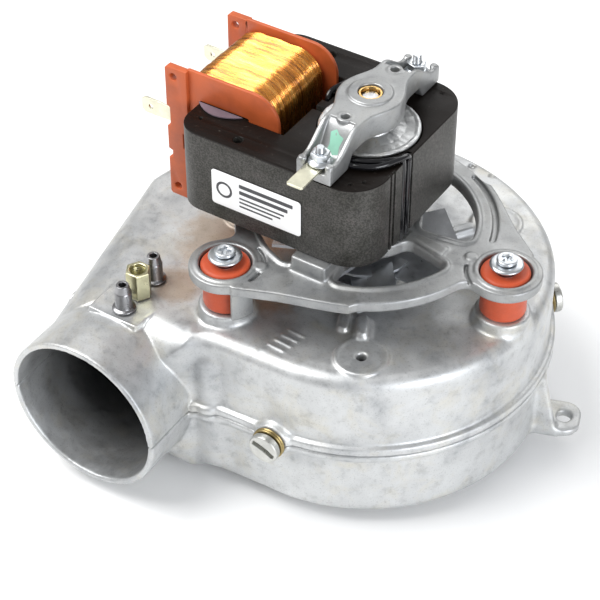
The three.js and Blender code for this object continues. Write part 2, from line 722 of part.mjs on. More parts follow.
const TAG_THICKNESS = 0.8;
const BRIDGE = {
  pad: STACK.high + GAP, under: 130.4, hubTop: 139.1, ringTop: 139.9, armTop: 132.2,
  floor: 129.3, half: 6.4, end: 34.8,
};

// A hub with two arms that drop to the iron; each arm is a trough that is open at its end.
function bearingBridge() {
  const { pad, under, hubTop, ringTop, armTop, floor, half, end } = BRIDGE;
  const rear = [
    [20, under], [24.5, pad], [end, pad], [end, armTop], [30.5, armTop], [25.3, 135.2],
    [21, 137.9], [17, hubTop],
  ];
  const front = rear.map(([y, z]) => [-y, z]).reverse();
  const arms = alongX(outlineShape([...rear, ...front]), -half, half);
  const trough = alongX(outlineShape([
    [end + 1, floor], [25.6, floor], [18.2, hubTop - 1.2], [18.2, FAR], [end + 1, FAR],
  ]), 1.7 - half, half - 1.7);
  const hub = lathe([[0, under], [10.9, under], [10.9, hubTop - 0.5], [10.4, hubTop],
    [7.8, hubTop], [7.3, ringTop], [0, ringTop]], 24);
  const shoulder = disc(7.7, under, hubTop - 0.1, 18);
  const tappedHole = disc(1.5, hubTop - 3, FAR, 10);
  return cut(
    join(arms, hub, at(shoulder, 0, -8.6), at(shoulder, 0, 8.6)),
    trough,
    turned(trough, 180),
    ...[-BOLT_Y, BOLT_Y].map((y) => at(disc(2.3, 120, FAR, 12), 0, y)),
    ...[-15.6, 15.6].map((y) => at(tappedHole, 0, y)),
    disc(6, 120, 136.2, 20),
    disc(4.2, 120, FAR, 20),
  );
}

// A stud with its nut and cone washer. The front one also clamps the earth tag.
function bridgeBolt(seat) {
  const top = 136.6;
  const nut = hexagon(3.2, seat + 1, seat + 4);
  const stud = lathe([
    [0, 85.6], [2, 85.6], [2, seat], [4.2, seat], [4.2, seat + 0.6], [3, seat + 1.6],
    [1.5, seat + 1.6], [1.5, top - 0.3], [1.2, top], [0, top],
  ], 16);
  return join(stud, nut);
}

// Earth tag: an eye under the front nut, with a flat spade that reaches past the arm.
function earthTag() {
  const low = BRIDGE.floor + GAP;
  const high = low + TAG_THICKNESS;
  const blade = box(-3.6, 2.4, -45.2, -BOLT_Y, low, high);
  const eye = at(disc(4, low, high, 16), 0, -BOLT_Y);
  const boltHole = at(disc(2.3, 120, 140, 12), 0, -BOLT_Y);
  const lockHole = at(disc(0.8, 120, 140, 8), -0.6, -42);
  return cut(join(blade, eye), boltHole, lockHole);
}

add('bearing_bridge', bearingBridge(), castAluminium);
add('bridge_bolt_front', at(bridgeBolt(BRIDGE.floor + TAG_THICKNESS + 2 * GAP), 0, -BOLT_Y), zincSteel);
add('bridge_bolt_rear', at(turned(bridgeBolt(BRIDGE.floor + GAP), 20), 0, BOLT_Y), zincSteel);
add('earth_tag', earthTag(), tinnedBrass);

// ---------------------------------------------------------------- bearings

const bore = SHAFT_RADIUS + GAP;
const upperBush = [[bore, 130.8], [4.6, 130.8], [5.7, 132], [5.7, 134.6], [4.6, 135.8],
  [3.9, 135.8], [3.9, 139.2], [bore, 139.2]];
const lowerBush = [[bore, 80.6], [4.6, 80.6], [5.6, 81.8], [5.6, 85.4], [4.6, 86.6], [bore, 86.6]];

add('upper_bush', lathe(upperBush, 18), brass);
add('lower_bush', lathe(lowerBush, 16), brass);
add('bush_retainer', ring(bore + 0.3, 5.5, 87, 87.8, 16), zincSteel);

// ---------------------------------------------------------------- rotor

function impellerWheel() {
  const { radius, eye, top, bottom, blades } = IMPELLER;
  const back = ring(bore, radius, top - 1.2, top, 28);
  const hub = ring(bore, 7.5, top - 10, top - 0.6, 16);
  const shroud = lathe([[eye, bottom - 1.5], [eye + 1.3, bottom - 1.5], [eye + 1.3, bottom],
    [radius, bottom], [radius, bottom + 1.2], [eye, bottom + 1.2]], 28);
  const vanes = [];
  for (let i = 0; i < blades; i += 1) vanes.push(turned(impellerBlade(), (360 * i) / blades));
  return join(back, hub, shroud, ...vanes);
}

// A thin plate bent back against the turning direction, from the eye to the rim.
function impellerBlade() {
  const { radius, eye, top, bottom } = IMPELLER;
  const outer = [];
  const inner = [];
  const steps = 2;
  for (let i = 0; i <= steps; i += 1) {
    const part = i / steps;
    const [r, angle] = [mix(eye + 1.5, radius - 0.8, part), 26 * part ** 1.4];
    outer.push(polar(r, angle));
    inner.unshift(polar(r, angle + mix(2.4, 1.6, part)));
  }
  return standing(outlineShape([...outer, ...inner]), bottom + 0.6, top - 0.6);
}

function impellerNut() {
  const low = IMPELLER.top - 10 - GAP - 5;
  return cut(hexagon(5.6, low, low + 5), disc(bore, 0, 90, 12));
}

function coolingFan() {
  const { radius, low, high, blades } = COOLING;
  const hub = ring(bore, 6.5, low, high, 14);
  const plate = ring(bore, 17, low + 2.4, low + 3.4, 20);
  const vanes = [];
  for (let i = 0; i < blades; i += 1) {
    const sheet = box(13, radius, -7.5, 7.5, -0.5, 0.5).rotateX(rad(18));
    vanes.push(turned(at(sheet, 0, 0, low + 2.9), (360 * i) / blades));
  }
  return join(hub, plate, ...vanes);
}

const SHAFT = { low: 40, high: 138 };
const shaftProfile = [[0, SHAFT.low], [2.6, SHAFT.low], [SHAFT_RADIUS, SHAFT.low + 0.5],
  [SHAFT_RADIUS, SHAFT.high - 0.5], [2.6, SHAFT.high], [0, SHAFT.high]];
const upperEndRing = [[bore, 125.2], [16.8, 125.2], [17.1, 125.6], [16.9, 126.6], [8, 127],
  [7, 129.2], [bore, 129.2]];
const lowerEndRing = [[bore, 90.4], [15.5, 90.4], [16, 91], [16, 94.2], [bore, 94.2]];

add('shaft_seal_disc', ring(bore + 0.4, 15.5, DECK_Z + 0.9, DECK_Z + 2, 24), sheetAluminium);
add('shaft', lathe(shaftProfile, 16), shaftSteel);
add('rotor_core', ring(bore, ROTOR_RADIUS, 94.5, 124.9, 28), lamination);
add('rotor_end_ring_upper', lathe(upperEndRing, 28), roughAluminium);
add('rotor_end_ring_lower', lathe(lowerEndRing, 20), roughAluminium);
add('thrust_washer_upper', ring(bore, 5.2, 129.5, 130.1, 16), insulationPaper);
add('thrust_washer_lower', ring(bore, 5.2, 88.6, 89.4, 16), insulationPaper);
add('cooling_fan', coolingFan(), sheetAluminium);
add('impeller', impellerWheel(), sheetAluminium);
add('impeller_nut', impellerNut(), zincSteel);

// ---------------------------------------------------------------- origin

// The part's own frame has its origin under the middle of its box, on the floor.
fan.updateMatrixWorld(true);
const extent = new THREE.Box3().setFromObject(fan);
const centre = extent.getCenter(new THREE.Vector3());
fan.position.set(-centre.x, -centre.y, -extent.min.z);

export default fan;
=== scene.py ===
# Combustion fan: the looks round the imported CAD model.
# Lengths are in millimetres from the rotor axis and the floor; point() turns them into
# metres in the model's own frame.

import json
import math

import bmesh
import bpy
import numpy as np
from mathutils import Matrix, Vector, noise


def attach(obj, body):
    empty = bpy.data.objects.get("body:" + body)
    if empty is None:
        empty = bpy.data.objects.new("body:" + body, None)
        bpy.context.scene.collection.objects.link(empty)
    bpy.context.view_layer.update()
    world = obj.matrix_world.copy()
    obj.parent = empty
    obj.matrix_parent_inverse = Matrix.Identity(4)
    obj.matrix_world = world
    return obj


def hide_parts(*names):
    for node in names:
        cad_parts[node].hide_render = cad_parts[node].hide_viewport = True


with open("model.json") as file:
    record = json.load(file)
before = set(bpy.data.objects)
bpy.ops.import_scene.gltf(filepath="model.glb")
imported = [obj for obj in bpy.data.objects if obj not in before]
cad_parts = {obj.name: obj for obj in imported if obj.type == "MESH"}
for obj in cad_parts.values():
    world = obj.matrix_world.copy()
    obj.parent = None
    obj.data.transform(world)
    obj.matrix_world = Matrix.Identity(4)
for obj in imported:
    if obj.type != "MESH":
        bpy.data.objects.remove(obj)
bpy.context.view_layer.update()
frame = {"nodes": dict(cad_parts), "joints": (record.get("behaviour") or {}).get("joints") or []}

AXIS_X, AXIS_Y, _ = frame["joints"][0]["pos_m"]
MM = 0.001                 # metres in a millimetre


def point(x, y, z):
    return Vector((AXIS_X + x * MM, AXIS_Y + y * MM, z * MM))


def polar(radius, degrees):
    turn = math.radians(degrees)
    return radius * math.cos(turn), radius * math.sin(turn)


# ---------------------------------------------------------------- main sizes

GAP = 0.3                  # kept between pieces that lie on one another
DECK_Z = 67.0
DECK_ROOT = 60             # under the skin of the deck, where what stands on it starts
DECK_CLEAR = 80            # over the deck, where cuts into it end
BASE_Z = 4.0
SPLIT_Z = 35.0             # the plane where the two shells part
SEAM = 0.15                # half of the gap on that plane
WALL = 3.0
EDGE_RADIUS = 5.0
SCROLL_RADIUS = 61.3       # where the spiral starts
SCROLL_GROWTH = 31.2       # what it gains over 240 degrees
SCROLL_POWER = 1.85
OUTLET_X = -58.92
OUTLET_RADIUS = 30.0
OUTLET_BORE = 27.8
OUTLET_FACE_Y = -89.6
OUTLET_ROOT_Y = -70.2
PAD_Z = 65.5
INLET_RADIUS = 34.0
GROMMET_RADIUS = 53.7
GROMMET_ANGLES = (-120, 0, 120)
BOSS_Z = 71.3
SLEEVE_TOP = 90.2
PLATE_LOW = 84.0
PLATE_TOP = 88.0
PLATE_CUT = (60, 99)       # from well under to well over the bracket
STACK_LOW = 94.0
STACK_TOP = 125.4
STACK_RIGHT = 19.5
STACK_LEFT = -54.9
STACK_HALF = 34.45
BOLT_Y = 30.5


# ---------------------------------------------------------------- distance fields
# A casting is a field of distances on a grid, negative inside the metal. Shapes are joined
# and cut with a rounded fillet, and the surface is then drawn through the zero level.

GRID_SHIFT = 0.37          # of a step; keeps flat faces off the grid points


class Grid:
    def __init__(self, low, high, step):
        self.step = step
        low = [v - GRID_SHIFT * step for v in low]
        self.low = np.array(low, np.float32)
        count = [int(math.ceil((b - a) / step)) + 1 for a, b in zip(low, high)]
        self.axes = [(a + step * np.arange(n)).astype(np.float32) for a, n in zip(low, count)]
        self.field = np.full(count, 1e3, np.float32)

    def window(self, low, high):
        """The slices of the grid that a shape of this size can touch."""
        found = []
        for axis, a, b in zip(self.axes, low, high):
            start = int(np.searchsorted(axis, a))
            found.append(slice(start, max(start, int(np.searchsorted(axis, b)))))
        return tuple(found)

    def places(self, part):
        """The coordinates in one window, ready to be combined."""
        x, y, z = (axis[s] for axis, s in zip(self.axes, part))
        return x[:, None, None], y[None, :, None], z[None, None, :]

    def everywhere(self):
        """The coordinates of the whole grid."""
        return self.places([slice(None)] * 3)

    def add(self, shape, low, high, fillet=0.0):
        """Join a shape on, worked out only inside this box."""
        self._combine(shape, low, high, fillet, 1)

    def cut(self, shape, low, high, fillet=0.0):
        """Take a shape away, worked out only inside this box."""
        self._combine(shape, low, high, fillet, -1)

    def _combine(self, shape, low, high, fillet, sign):
        margin = fillet + 2 * self.step
        part = self.window([v - margin for v in low], [v + margin for v in high])
        if any(s.start == s.stop for s in part):
            return
        values = shape(*self.places(part))
        old = self.field[part]
        self.field[part] = join(old, values, fillet) if sign > 0 else -join(-old, values, fillet)


def join(a, b, fillet):
    """The union of two fields with a fillet of about this radius."""
    if fillet <= 0:
        return np.minimum(a, b)
    overlap = np.maximum(fillet - np.abs(a - b), 0) / fillet
    return np.minimum(a, b) - overlap * overlap * fillet * 0.25


def rounded(first, second, radius):
    """The meeting of two fields with a rounded outer edge."""
    a, b = first + radius, second + radius
    outside = np.hypot(np.maximum(a, 0), np.maximum(b, 0))
    return np.minimum(np.maximum(a, b), 0) + outside - radius


def prism(plan, z, low, high, radius=0.0):
    """A plan raised from low to high."""
    return rounded(plan, np.abs(z - (low + high) / 2) - (high - low) / 2, radius)


def circle(x, y, cx, cy, radius):
    return np.hypot(x - cx, y - cy) - radius


def rectangle(x, y, x0, x1, y0, y1, radius=0.0):
    across = np.abs(x - (x0 + x1) / 2) - (x1 - x0) / 2
    along = np.abs(y - (y0 + y1) / 2) - (y1 - y0) / 2
    return rounded(across, along, radius)


def bar(x, y, start, end, half_width):
    """A bar with round ends between two points."""
    ax, ay = start
    dx, dy = end[0] - ax, end[1] - ay
    along = np.clip(((x - ax) * dx + (y - ay) * dy) / (dx * dx + dy * dy), 0, 1)
    return np.hypot(x - ax - along * dx, y - ay - along * dy) - half_width


def around(x, y, reach, low, high):
    """The corners of a box about an upright line."""
    return (x - reach, y - reach, low), (x + reach, y + reach, high)


def post(cx, cy, radius, low, high, edge=0.0):
    """The field of an upright round post."""
    return lambda x, y, z: prism(circle(x, y, cx, cy, radius), z, low, high, edge)


def ridge(start, end, half_width, low, high, edge):
    """The field of an upright bar with round ends."""
    return lambda x, y, z: prism(bar(x, y, start, end, half_width), z, low, high, edge)


def hoop(radius, half_width, low, high, edge):
    """The field of an upright ring about the rotor axis."""
    return lambda x, y, z: prism(np.abs(np.hypot(x, y) - radius) - half_width, z, low, high, edge)


def smooth(edge0, edge1, value):
    """Zero before the first edge, one after the second."""
    t = np.clip((value - edge0) / (edge1 - edge0), 0, 1)
    return t * t * (3 - 2 * t)


CELL_CORNERS = np.array([(i, j, k) for i in (0, 1) for j in (0, 1) for k in (0, 1)])
CELL_EDGES = [(a, b) for a in range(8) for b in range(a + 1, 8)
              if np.abs(CELL_CORNERS[a] - CELL_CORNERS[b]).sum() == 1]


def surface(grid):
    """Vertices and quads of the zero level: one vertex for each cell that it passes through."""
    field = grid.field
    inside = field < 0
    count = sum(inside[i:i - 1 or None, j:j - 1 or None, k:k - 1 or None].astype(np.int8)
                for i, j, k in CELL_CORNERS)
    mixed = (count > 0) & (count < 8)
    cells = np.argwhere(mixed)
    number = np.full(mixed.shape, -1, np.int64)
    number[mixed] = np.arange(len(cells))
    values = np.stack([field[tuple((cells + c).T)] for c in CELL_CORNERS], 1)
    total = np.zeros((len(cells), 3))
    hits = np.zeros(len(cells))
    for a, b in CELL_EDGES:
        va, vb = values[:, a], values[:, b]
        crossed = (va < 0) != (vb < 0)
        share = np.where(crossed, va / np.where(crossed, va - vb, 1), 0)[:, None]
        spot = CELL_CORNERS[a] + share * (CELL_CORNERS[b] - CELL_CORNERS[a])
        total += np.where(crossed[:, None], spot, 0)
        hits += crossed
    vertices = grid.low + (cells + total / hits[:, None]) * grid.step
    quads = []
    for axis in range(3):
        u, v = (axis + 1) % 3, (axis + 2) % 3
        ahead = [slice(None)] * 3
        behind = [slice(None)] * 3
        ahead[axis], behind[axis] = slice(1, None), slice(None, -1)
        first, second = inside[tuple(behind)], inside[tuple(ahead)]
        for starts in (True, False):
            edges = np.argwhere((first != second) & (first == starts))
            keep = (edges[:, u] > 0) & (edges[:, v] > 0)
            keep &= (edges[:, u] < mixed.shape[u]) & (edges[:, v] < mixed.shape[v])
            edges = edges[keep]
            ring = []
            for du, dv in ((-1, -1), (0, -1), (0, 0), (-1, 0)):
                cell = edges.copy()
                cell[:, u] += du
                cell[:, v] += dv
                ring.append(number[tuple(cell.T)])
            quads.append(np.stack(ring if starts else ring[::-1], 1))
    return vertices, np.concatenate(quads)


SETTLE_ROUNDS = 3
SETTLE_REACH = 0.35        # of a step, the most that a vertex moves in one round


def settled(grid, vertices):
    """Vertices moved along the slope of the field until they lie on its zero level."""
    last = np.array(grid.field.shape) - 2
    for _ in range(SETTLE_ROUNDS):
        spot = (vertices - grid.low) / grid.step
        cell = np.clip(np.floor(spot).astype(int), 0, last)
        share = spot - cell
        value = np.zeros(len(vertices))
        slope = np.zeros((len(vertices), 3))
        for corner in CELL_CORNERS:
            height = grid.field[tuple((cell + corner).T)]
            weight = np.where(corner, share, 1 - share)
            value += height * weight.prod(1)
            for axis in range(3):
                side = 2 * corner[axis] - 1
                slope[:, axis] += height * side * np.delete(weight, axis, 1).prod(1)
        move = (value / np.maximum((slope ** 2).sum(1), 1e-6))[:, None] * slope
        reach = np.linalg.norm(move, axis=1)[:, None]
        vertices = vertices - grid.step * move * np.minimum(1, SETTLE_REACH / np.maximum(reach, 1e-9))
    return vertices


def relaxed(vertices, quads):
    """Each vertex moves halfway to the mean of its neighbours."""
    ends = np.concatenate([quads[:, pair] for pair in ((0, 1), (1, 2), (2, 3), (3, 0))])
    count = np.bincount(ends[:, 0], minlength=len(vertices))[:, None]
    total = [np.bincount(ends[:, 0], vertices[ends[:, 1], k], len(vertices)) for k in range(3)]
    return (vertices + np.stack(total, 1) / count) / 2


# ---------------------------------------------------------------- pieces

def shaded(mesh, smooth_angle=None):
    mesh.polygons.foreach_set("use_smooth", [True] * len(mesh.polygons))
    if smooth_angle is not None:
        mesh.set_sharp_from_angle(angle=math.radians(smooth_angle))


def piece(name, mesh, material, stands_for=(), body="housing"):
    """One named object of the fan, and the CAD nodes that it is shown in place of."""
    thing = bpy.data.objects.new(name, mesh)
    bpy.context.scene.collection.objects.link(thing)
    mesh.materials.clear()
    mesh.materials.append(material)
    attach(thing, body)
    if stands_for:
        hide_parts(*stands_for)
    return thing


ROOM_REACH = 1.2           # millimetres from the hollow where its painted shade ends


def casting(name, grid, material, stands_for, room=None):
    """A piece drawn from a grid; a room marks the vertices on the hollow side, which get painted shade."""
    vertices, quads = surface(grid)
    places = relaxed(settled(grid, vertices), quads)
    vertices = places * MM + np.array([AXIS_X, AXIS_Y, 0])
    mesh = bpy.data.meshes.new(name)
    mesh.vertices.add(len(vertices))
    mesh.vertices.foreach_set("co", vertices.astype(np.float32).ravel())
    mesh.loops.add(quads.size)
    mesh.loops.foreach_set("vertex_index", quads.astype(np.int32).ravel())
    mesh.polygons.add(len(quads))
    mesh.polygons.foreach_set("loop_start", np.arange(0, quads.size, 4, dtype=np.int32))
    if room:
        inside = np.clip(ROOM_REACH - room(*places.T), 0, 1).astype(np.float32)
        mesh.attributes.new("inside", "FLOAT", "POINT").data.foreach_set("value", inside)
    mesh.update(calc_edges=True)
    mesh.validate()
    shaded(mesh)
    return piece(name, mesh, material, stands_for)


def shaped(name, shape, material, stands_for=(), smooth_angle=35, body="housing"):
    """A piece made of one pair of vertices and faces in millimetres."""
    vertices, faces = shape
    mesh = bpy.data.meshes.new(name)
    mesh.from_pydata([point(*v) for v in vertices], [], faces)
    mesh.validate()
    tidy = bmesh.new()
    tidy.from_mesh(mesh)
    bmesh.ops.remove_doubles(tidy, verts=tidy.verts, dist=1e-6)
    bmesh.ops.recalc_face_normals(tidy, faces=tidy.faces)
    tidy.to_mesh(mesh)
    tidy.free()
    shaded(mesh, smooth_angle)
    return piece(name, mesh, material, stands_for, body)


def lathe(profile, place=(0, 0, 0), turn=None, segments=64):
    """Vertices and faces of a closed [radius, z] profile turned about its own axis."""
    vertices, faces = [], []
    count = len(profile)
    for s in range(segments):
        c, d = polar(1, 360 * s / segments)
        vertices += [Vector((r * c, r * d, z)) for r, z in profile]
    for s in range(segments):
        a, b = s * count, (s + 1) % segments * count
        for i in range(count):
            j = (i + 1) % count
            ring = [a + i, b + i, b + j, a + j]
            if profile[i][0] < 1e-6:
                ring.remove(b + i)
            if profile[j][0] < 1e-6:
                ring.remove(b + j)
            if len(ring) > 2:
                faces.append(ring)
    if turn is not None:
        vertices = [turn @ v for v in vertices]
    return [v + Vector(place) for v in vertices], faces


SOFT_STEPS = 3


def softened(profile, radius):
    """The same closed outline with each corner rounded off, but for those on the axis."""
    points = [Vector(p) for p in profile]
    count = len(points)
    found = []
    for i, corner in enumerate(points):
        before, after = points[i - 1], points[(i + 1) % count]
        into, out = before - corner, after - corner
        reach = min(radius, into.length * 0.45, out.length * 0.45)
        if corner.x < 1e-6 or reach < 1e-3:
            found.append(tuple(corner))
            continue
        start = corner + into.normalized() * reach
        end = corner + out.normalized() * reach
        for k in range(SOFT_STEPS + 1):
            t = k / SOFT_STEPS
            spot = start * (1 - t) ** 2 + corner * 2 * t * (1 - t) + end * t * t
            found.append(tuple(spot))
    return found


def merged(*parts):
    """Several pairs of vertices and faces as one pair."""
    vertices, faces = [], []
    for more_vertices, more_faces in parts:
        base = len(vertices)
        vertices += list(more_vertices)
        faces += [[base + i for i in face] for face in more_faces]
    return vertices, faces


def plate(loops, low, high, bevel, turn=None, place=(0, 0, 0)):
    """A flat plate of any outline with holes, standing from low to high, with soft edges."""
    curve = bpy.data.curves.new("outline", "CURVE")
    curve.dimensions = "2D"
    curve.fill_mode = "BOTH"
    curve.extrude = (high - low) / 2 - bevel
    curve.bevel_depth = bevel
    curve.bevel_resolution = 2
    curve.offset = -bevel
    for loop in loops:
        spline = curve.splines.new("POLY")
        spline.points.add(len(loop) - 1)
        for spot, (x, y) in zip(spline.points, loop):
            spot.co = (x, y, 0, 1)
        spline.use_cyclic_u = True
    holder = bpy.data.objects.new("outline", curve)
    bpy.context.scene.collection.objects.link(holder)
    mesh = bpy.data.meshes.new_from_object(holder)
    middle = Vector((0, 0, (low + high) / 2))
    vertices = [v.co + middle for v in mesh.vertices]
    if turn is not None:
        vertices = [turn @ v for v in vertices]
    faces = [list(p.vertices) for p in mesh.polygons]
    bpy.data.objects.remove(holder)
    bpy.data.curves.remove(curve)
    bpy.data.meshes.remove(mesh)
    return [v + Vector(place) for v in vertices], faces


def arc(cx, cy, radius, start, end, steps):
    turns = [start + (end - start) * i / steps for i in range(steps + 1)]
    return [(cx + polar(radius, turn)[0], cy + polar(radius, turn)[1]) for turn in turns]


def ring_loop(cx, cy, radius, steps=23):
    """A closed circle with this many gaps between its points, and one more to close it."""
    return arc(cx, cy, radius, 0, 360 * steps / (steps + 1), steps)


def rounded_loop(x0, x1, y0, y1, radii, steps=10):
    """A rectangle with round corners: one radius, or four from the lower left anticlockwise."""
    r00, r10, r11, r01 = radii if isinstance(radii, (tuple, list)) else [radii] * 4
    return (arc(x1 - r10, y0 + r10, r10, -90, 0, steps) + arc(x1 - r11, y1 - r11, r11, 0, 90, steps)
            + arc(x0 + r01, y1 - r01, r01, 90, 180, steps) + arc(x0 + r00, y0 + r00, r00, 180, 270, steps))


def hexagon(cx, cy, apothem, degrees):
    """Six corners; the first one points this way."""
    radius = apothem / math.cos(math.radians(30))
    corners = [polar(radius, degrees + 60 * i) for i in range(6)]
    return [(cx + dx, cy + dy) for dx, dy in corners]


UPRIGHT_XZ = Matrix(((1, 0, 0), (0, 0, -1), (0, 1, 0)))     # a plan in x and z; its height goes to -y
FACING_X = Matrix(((0, 0, 1), (1, 0, 0), (0, 1, 0)))        # a plan in y and z; its height goes to +x


def facing(degrees):
    """Turns the local z axis to point outwards along this direction in plan."""
    return Matrix.Rotation(math.radians(degrees), 3, "Z") @ FACING_X


# ---------------------------------------------------------------- materials
# Every pattern is placed by the object's own coordinates, in metres.

class Look:
    """A principled material that is built up from procedural patterns."""

    def __init__(self, name, **settings):
        self.material = bpy.data.materials.new(name)
        self.material.use_nodes = True
        self.tree = self.material.node_tree
        self.shader = self.tree.nodes["Principled BSDF"]
        for key, value in settings.items():
            self.set(key.replace("_", " "), value)
        self.place = self.tree.nodes.new("ShaderNodeTexCoord").outputs["Object"]

    def set(self, key, value):
        self.plug(self.shader.inputs[key], value)

    def plug(self, socket, value):
        """A socket takes a number, a colour or the output of another node."""
        if isinstance(value, bpy.types.NodeSocket):
            self.tree.links.new(value, socket)
        elif socket.type == "RGBA":
            socket.default_value = (*value, 1)
        else:
            socket.default_value = value

    def node(self, kind, inputs, **settings):
        """The outputs of a new node; its inputs go by name or by number."""
        made = self.tree.nodes.new("ShaderNode" + kind)
        for key, value in settings.items():
            setattr(made, key, value)
        for key, value in inputs.items():
            self.plug(made.inputs[key], value)
        return made.outputs

    def noise(self, size_mm, detail=3.0, roughness=0.55, stretch=(1, 1, 1), distortion=0.0):
        place = self.node("Mapping", {"Vector": self.place, "Scale": stretch})["Vector"]
        return self.node("TexNoise", {"Vector": place, "Scale": 1000 / size_mm, "Detail": detail,
                                      "Roughness": roughness, "Distortion": distortion})["Fac"]

    def cells(self, size_mm):
        return self.node("TexVoronoi", {"Vector": self.place, "Scale": 1000 / size_mm})["Distance"]

    def layers(self, pitch_mm):
        """Bands that follow one another upwards, one for each pitch."""
        scale = 1000 / pitch_mm * math.pi / 20
        return self.node("TexWave", {"Vector": self.place, "Scale": scale}, bands_direction="Z")["Fac"]

    def math(self, operation, first, second):
        return self.node("Math", {0: first, 1: second}, operation=operation)[0]

    def times(self, first, second):
        return self.math("MULTIPLY", first, second)

    def mix(self, factor, first, second, mode="MIX"):
        return self.node("Mix", {0: factor, 6: first, 7: second}, data_type="RGBA", blend_type=mode)[2]

    def ramp(self, factor, *stops):
        """A pattern turned into colours or greys: (place, value) stops."""
        made = self.tree.nodes.new("ShaderNodeValToRGB")
        self.plug(made.inputs[0], factor)
        elements = made.color_ramp.elements
        while len(elements) < len(stops):
            elements.new(0.5)
        for element, (spot, color) in zip(elements, stops):
            element.position = spot
            element.color = (*color, 1) if isinstance(color, tuple) else (color, color, color, 1)
        return made.outputs["Color"]

    def spread(self, factor, low, high):
        """A noise pattern drawn out from low to high."""
        return self.node("MapRange", {"Value": factor, "From Min": 0.3, "From Max": 0.7,
                                      "To Min": low, "To Max": high})["Result"]

    def near(self, place, radius):
        """One at this place in millimetres, falling to zero at the radius."""
        away = self.node("VectorMath", {0: self.place, 1: point(*place)}, operation="DISTANCE")["Value"]
        return self.math("SUBTRACT", 1.0, self.math("DIVIDE", away, radius * MM))

    def stored(self, name):
        """A value kept on the vertices of the mesh."""
        return self.node("Attribute", {}, attribute_name=name)["Fac"]

    def along(self, axis):
        return self.node("SeparateXYZ", {0: self.place})[axis]

    def finished(self, color, roughness, *bumps):
        """The material; each bump is a height pattern, its depth in mm and its strength."""
        self.set("Base Color", color)
        self.set("Roughness", roughness)
        normal = None
        for pattern, depth, strength in bumps:
            inputs = {"Distance": depth * MM, "Strength": strength, "Height": pattern}
            if normal:
                inputs["Normal"] = normal
            normal = self.node("Bump", inputs)["Normal"]
        self.set("Normal", normal)
        return self.material


# Painted shade inside the castings and the outlet bore: near-black, darker deeper behind the mouth.
BORE_SHADE_COLOR = (0.05, 0.05, 0.06)
BORE_SHADE_FULL = 34             # millimetres behind the outlet mouth where the painted shade in the bore is darkest


def toned(light, *shares):
    return tuple(light * share for share in shares)


def cast_metal(name, light, warmth, base_roughness, grain_size=0.6, stains=()):
    """Cast aluminium with clouds, faint brown tint, soot, round stains, and painted shade on its hollow side
    that grows darker deeper into the outlet bore.
    """
    look = Look(name, Metallic=0.8)
    cloud = look.noise(24, 4, 0.6)
    tarnish = look.noise(13, 5, 0.65, distortion=0.6)
    flow = look.noise(6, 4, 0.6, stretch=(1, 1, 0.3))
    grain = look.noise(grain_size, 3, 0.65)
    base = look.ramp(cloud, (0.3, toned(light, 0.7, 0.72, 0.74)), (0.5, toned(light, 0.985, 1, 1)),
                     (0.72, toned(light, 1.15, 1.17, 1.17)))
    tint = look.ramp(tarnish, (0.5, (1.0, 1.0, 1.0)), (0.7, (1.0, 1 - 0.06 * warmth, 1 - 0.19 * warmth)))
    base = look.mix(1.0, base, tint, "MULTIPLY")
    soot = look.ramp(look.noise(6, 6, 0.72), (0.32, 0.6), (0.46, 1.0))
    base = look.mix(0.4, base, soot, "MULTIPLY")
    for place, radius in stains:
        ragged = look.math("ADD", look.near(place, radius), look.times(look.noise(9, 5, 0.7), 0.8))
        edge = look.ramp(ragged, (0.72, 0.0), (1.05, 1.0))
        base = look.mix(look.times(edge, 0.55), base, toned(light, 0.72, 0.5, 0.3))
    speck = look.ramp(grain, (0.3, 0.6), (0.45, 1.0))
    base = look.mix(0.6, base, speck, "MULTIPLY")
    # painted shade on the hollow side, darker the deeper it lies behind the outlet mouth
    depth = look.math("SUBTRACT", look.along("Y"), point(0, OUTLET_FACE_Y, 0).y)
    overlay_mask = look.ramp(look.math("DIVIDE", depth, BORE_SHADE_FULL * MM), (0.1, 0.0), (1.0, 0.75))
    color = look.mix(look.times(look.stored("inside"), overlay_mask), base, BORE_SHADE_COLOR)
    patch = look.spread(flow, base_roughness - 0.05, base_roughness + 0.12)
    roughness = look.math("ADD", patch, look.spread(grain, -0.03, 0.06))
    return look.finished(color, roughness, (cloud, 0.6, 0.3), (flow, 0.16, 0.3), (grain, 0.07, 0.5),
                         (look.cells(1.7), 0.03, 0.3))


def machined_metal(name, color, roughness, marks=0.12, size=1.6):
    """Plated or turned metal with fine marks."""
    look = Look(name, Metallic=1.0)
    scratch = look.noise(size, 3, 0.6, stretch=(1, 1, 6))
    base = look.mix(look.spread(look.noise(4, 3), 0.0, 1.0), toned(0.84, *color), color)
    return look.finished(base, look.spread(scratch, roughness - marks * 0.6, roughness + marks),
                         (scratch, 0.012, 0.2), (look.noise(0.5, 2), 0.004, 0.2))


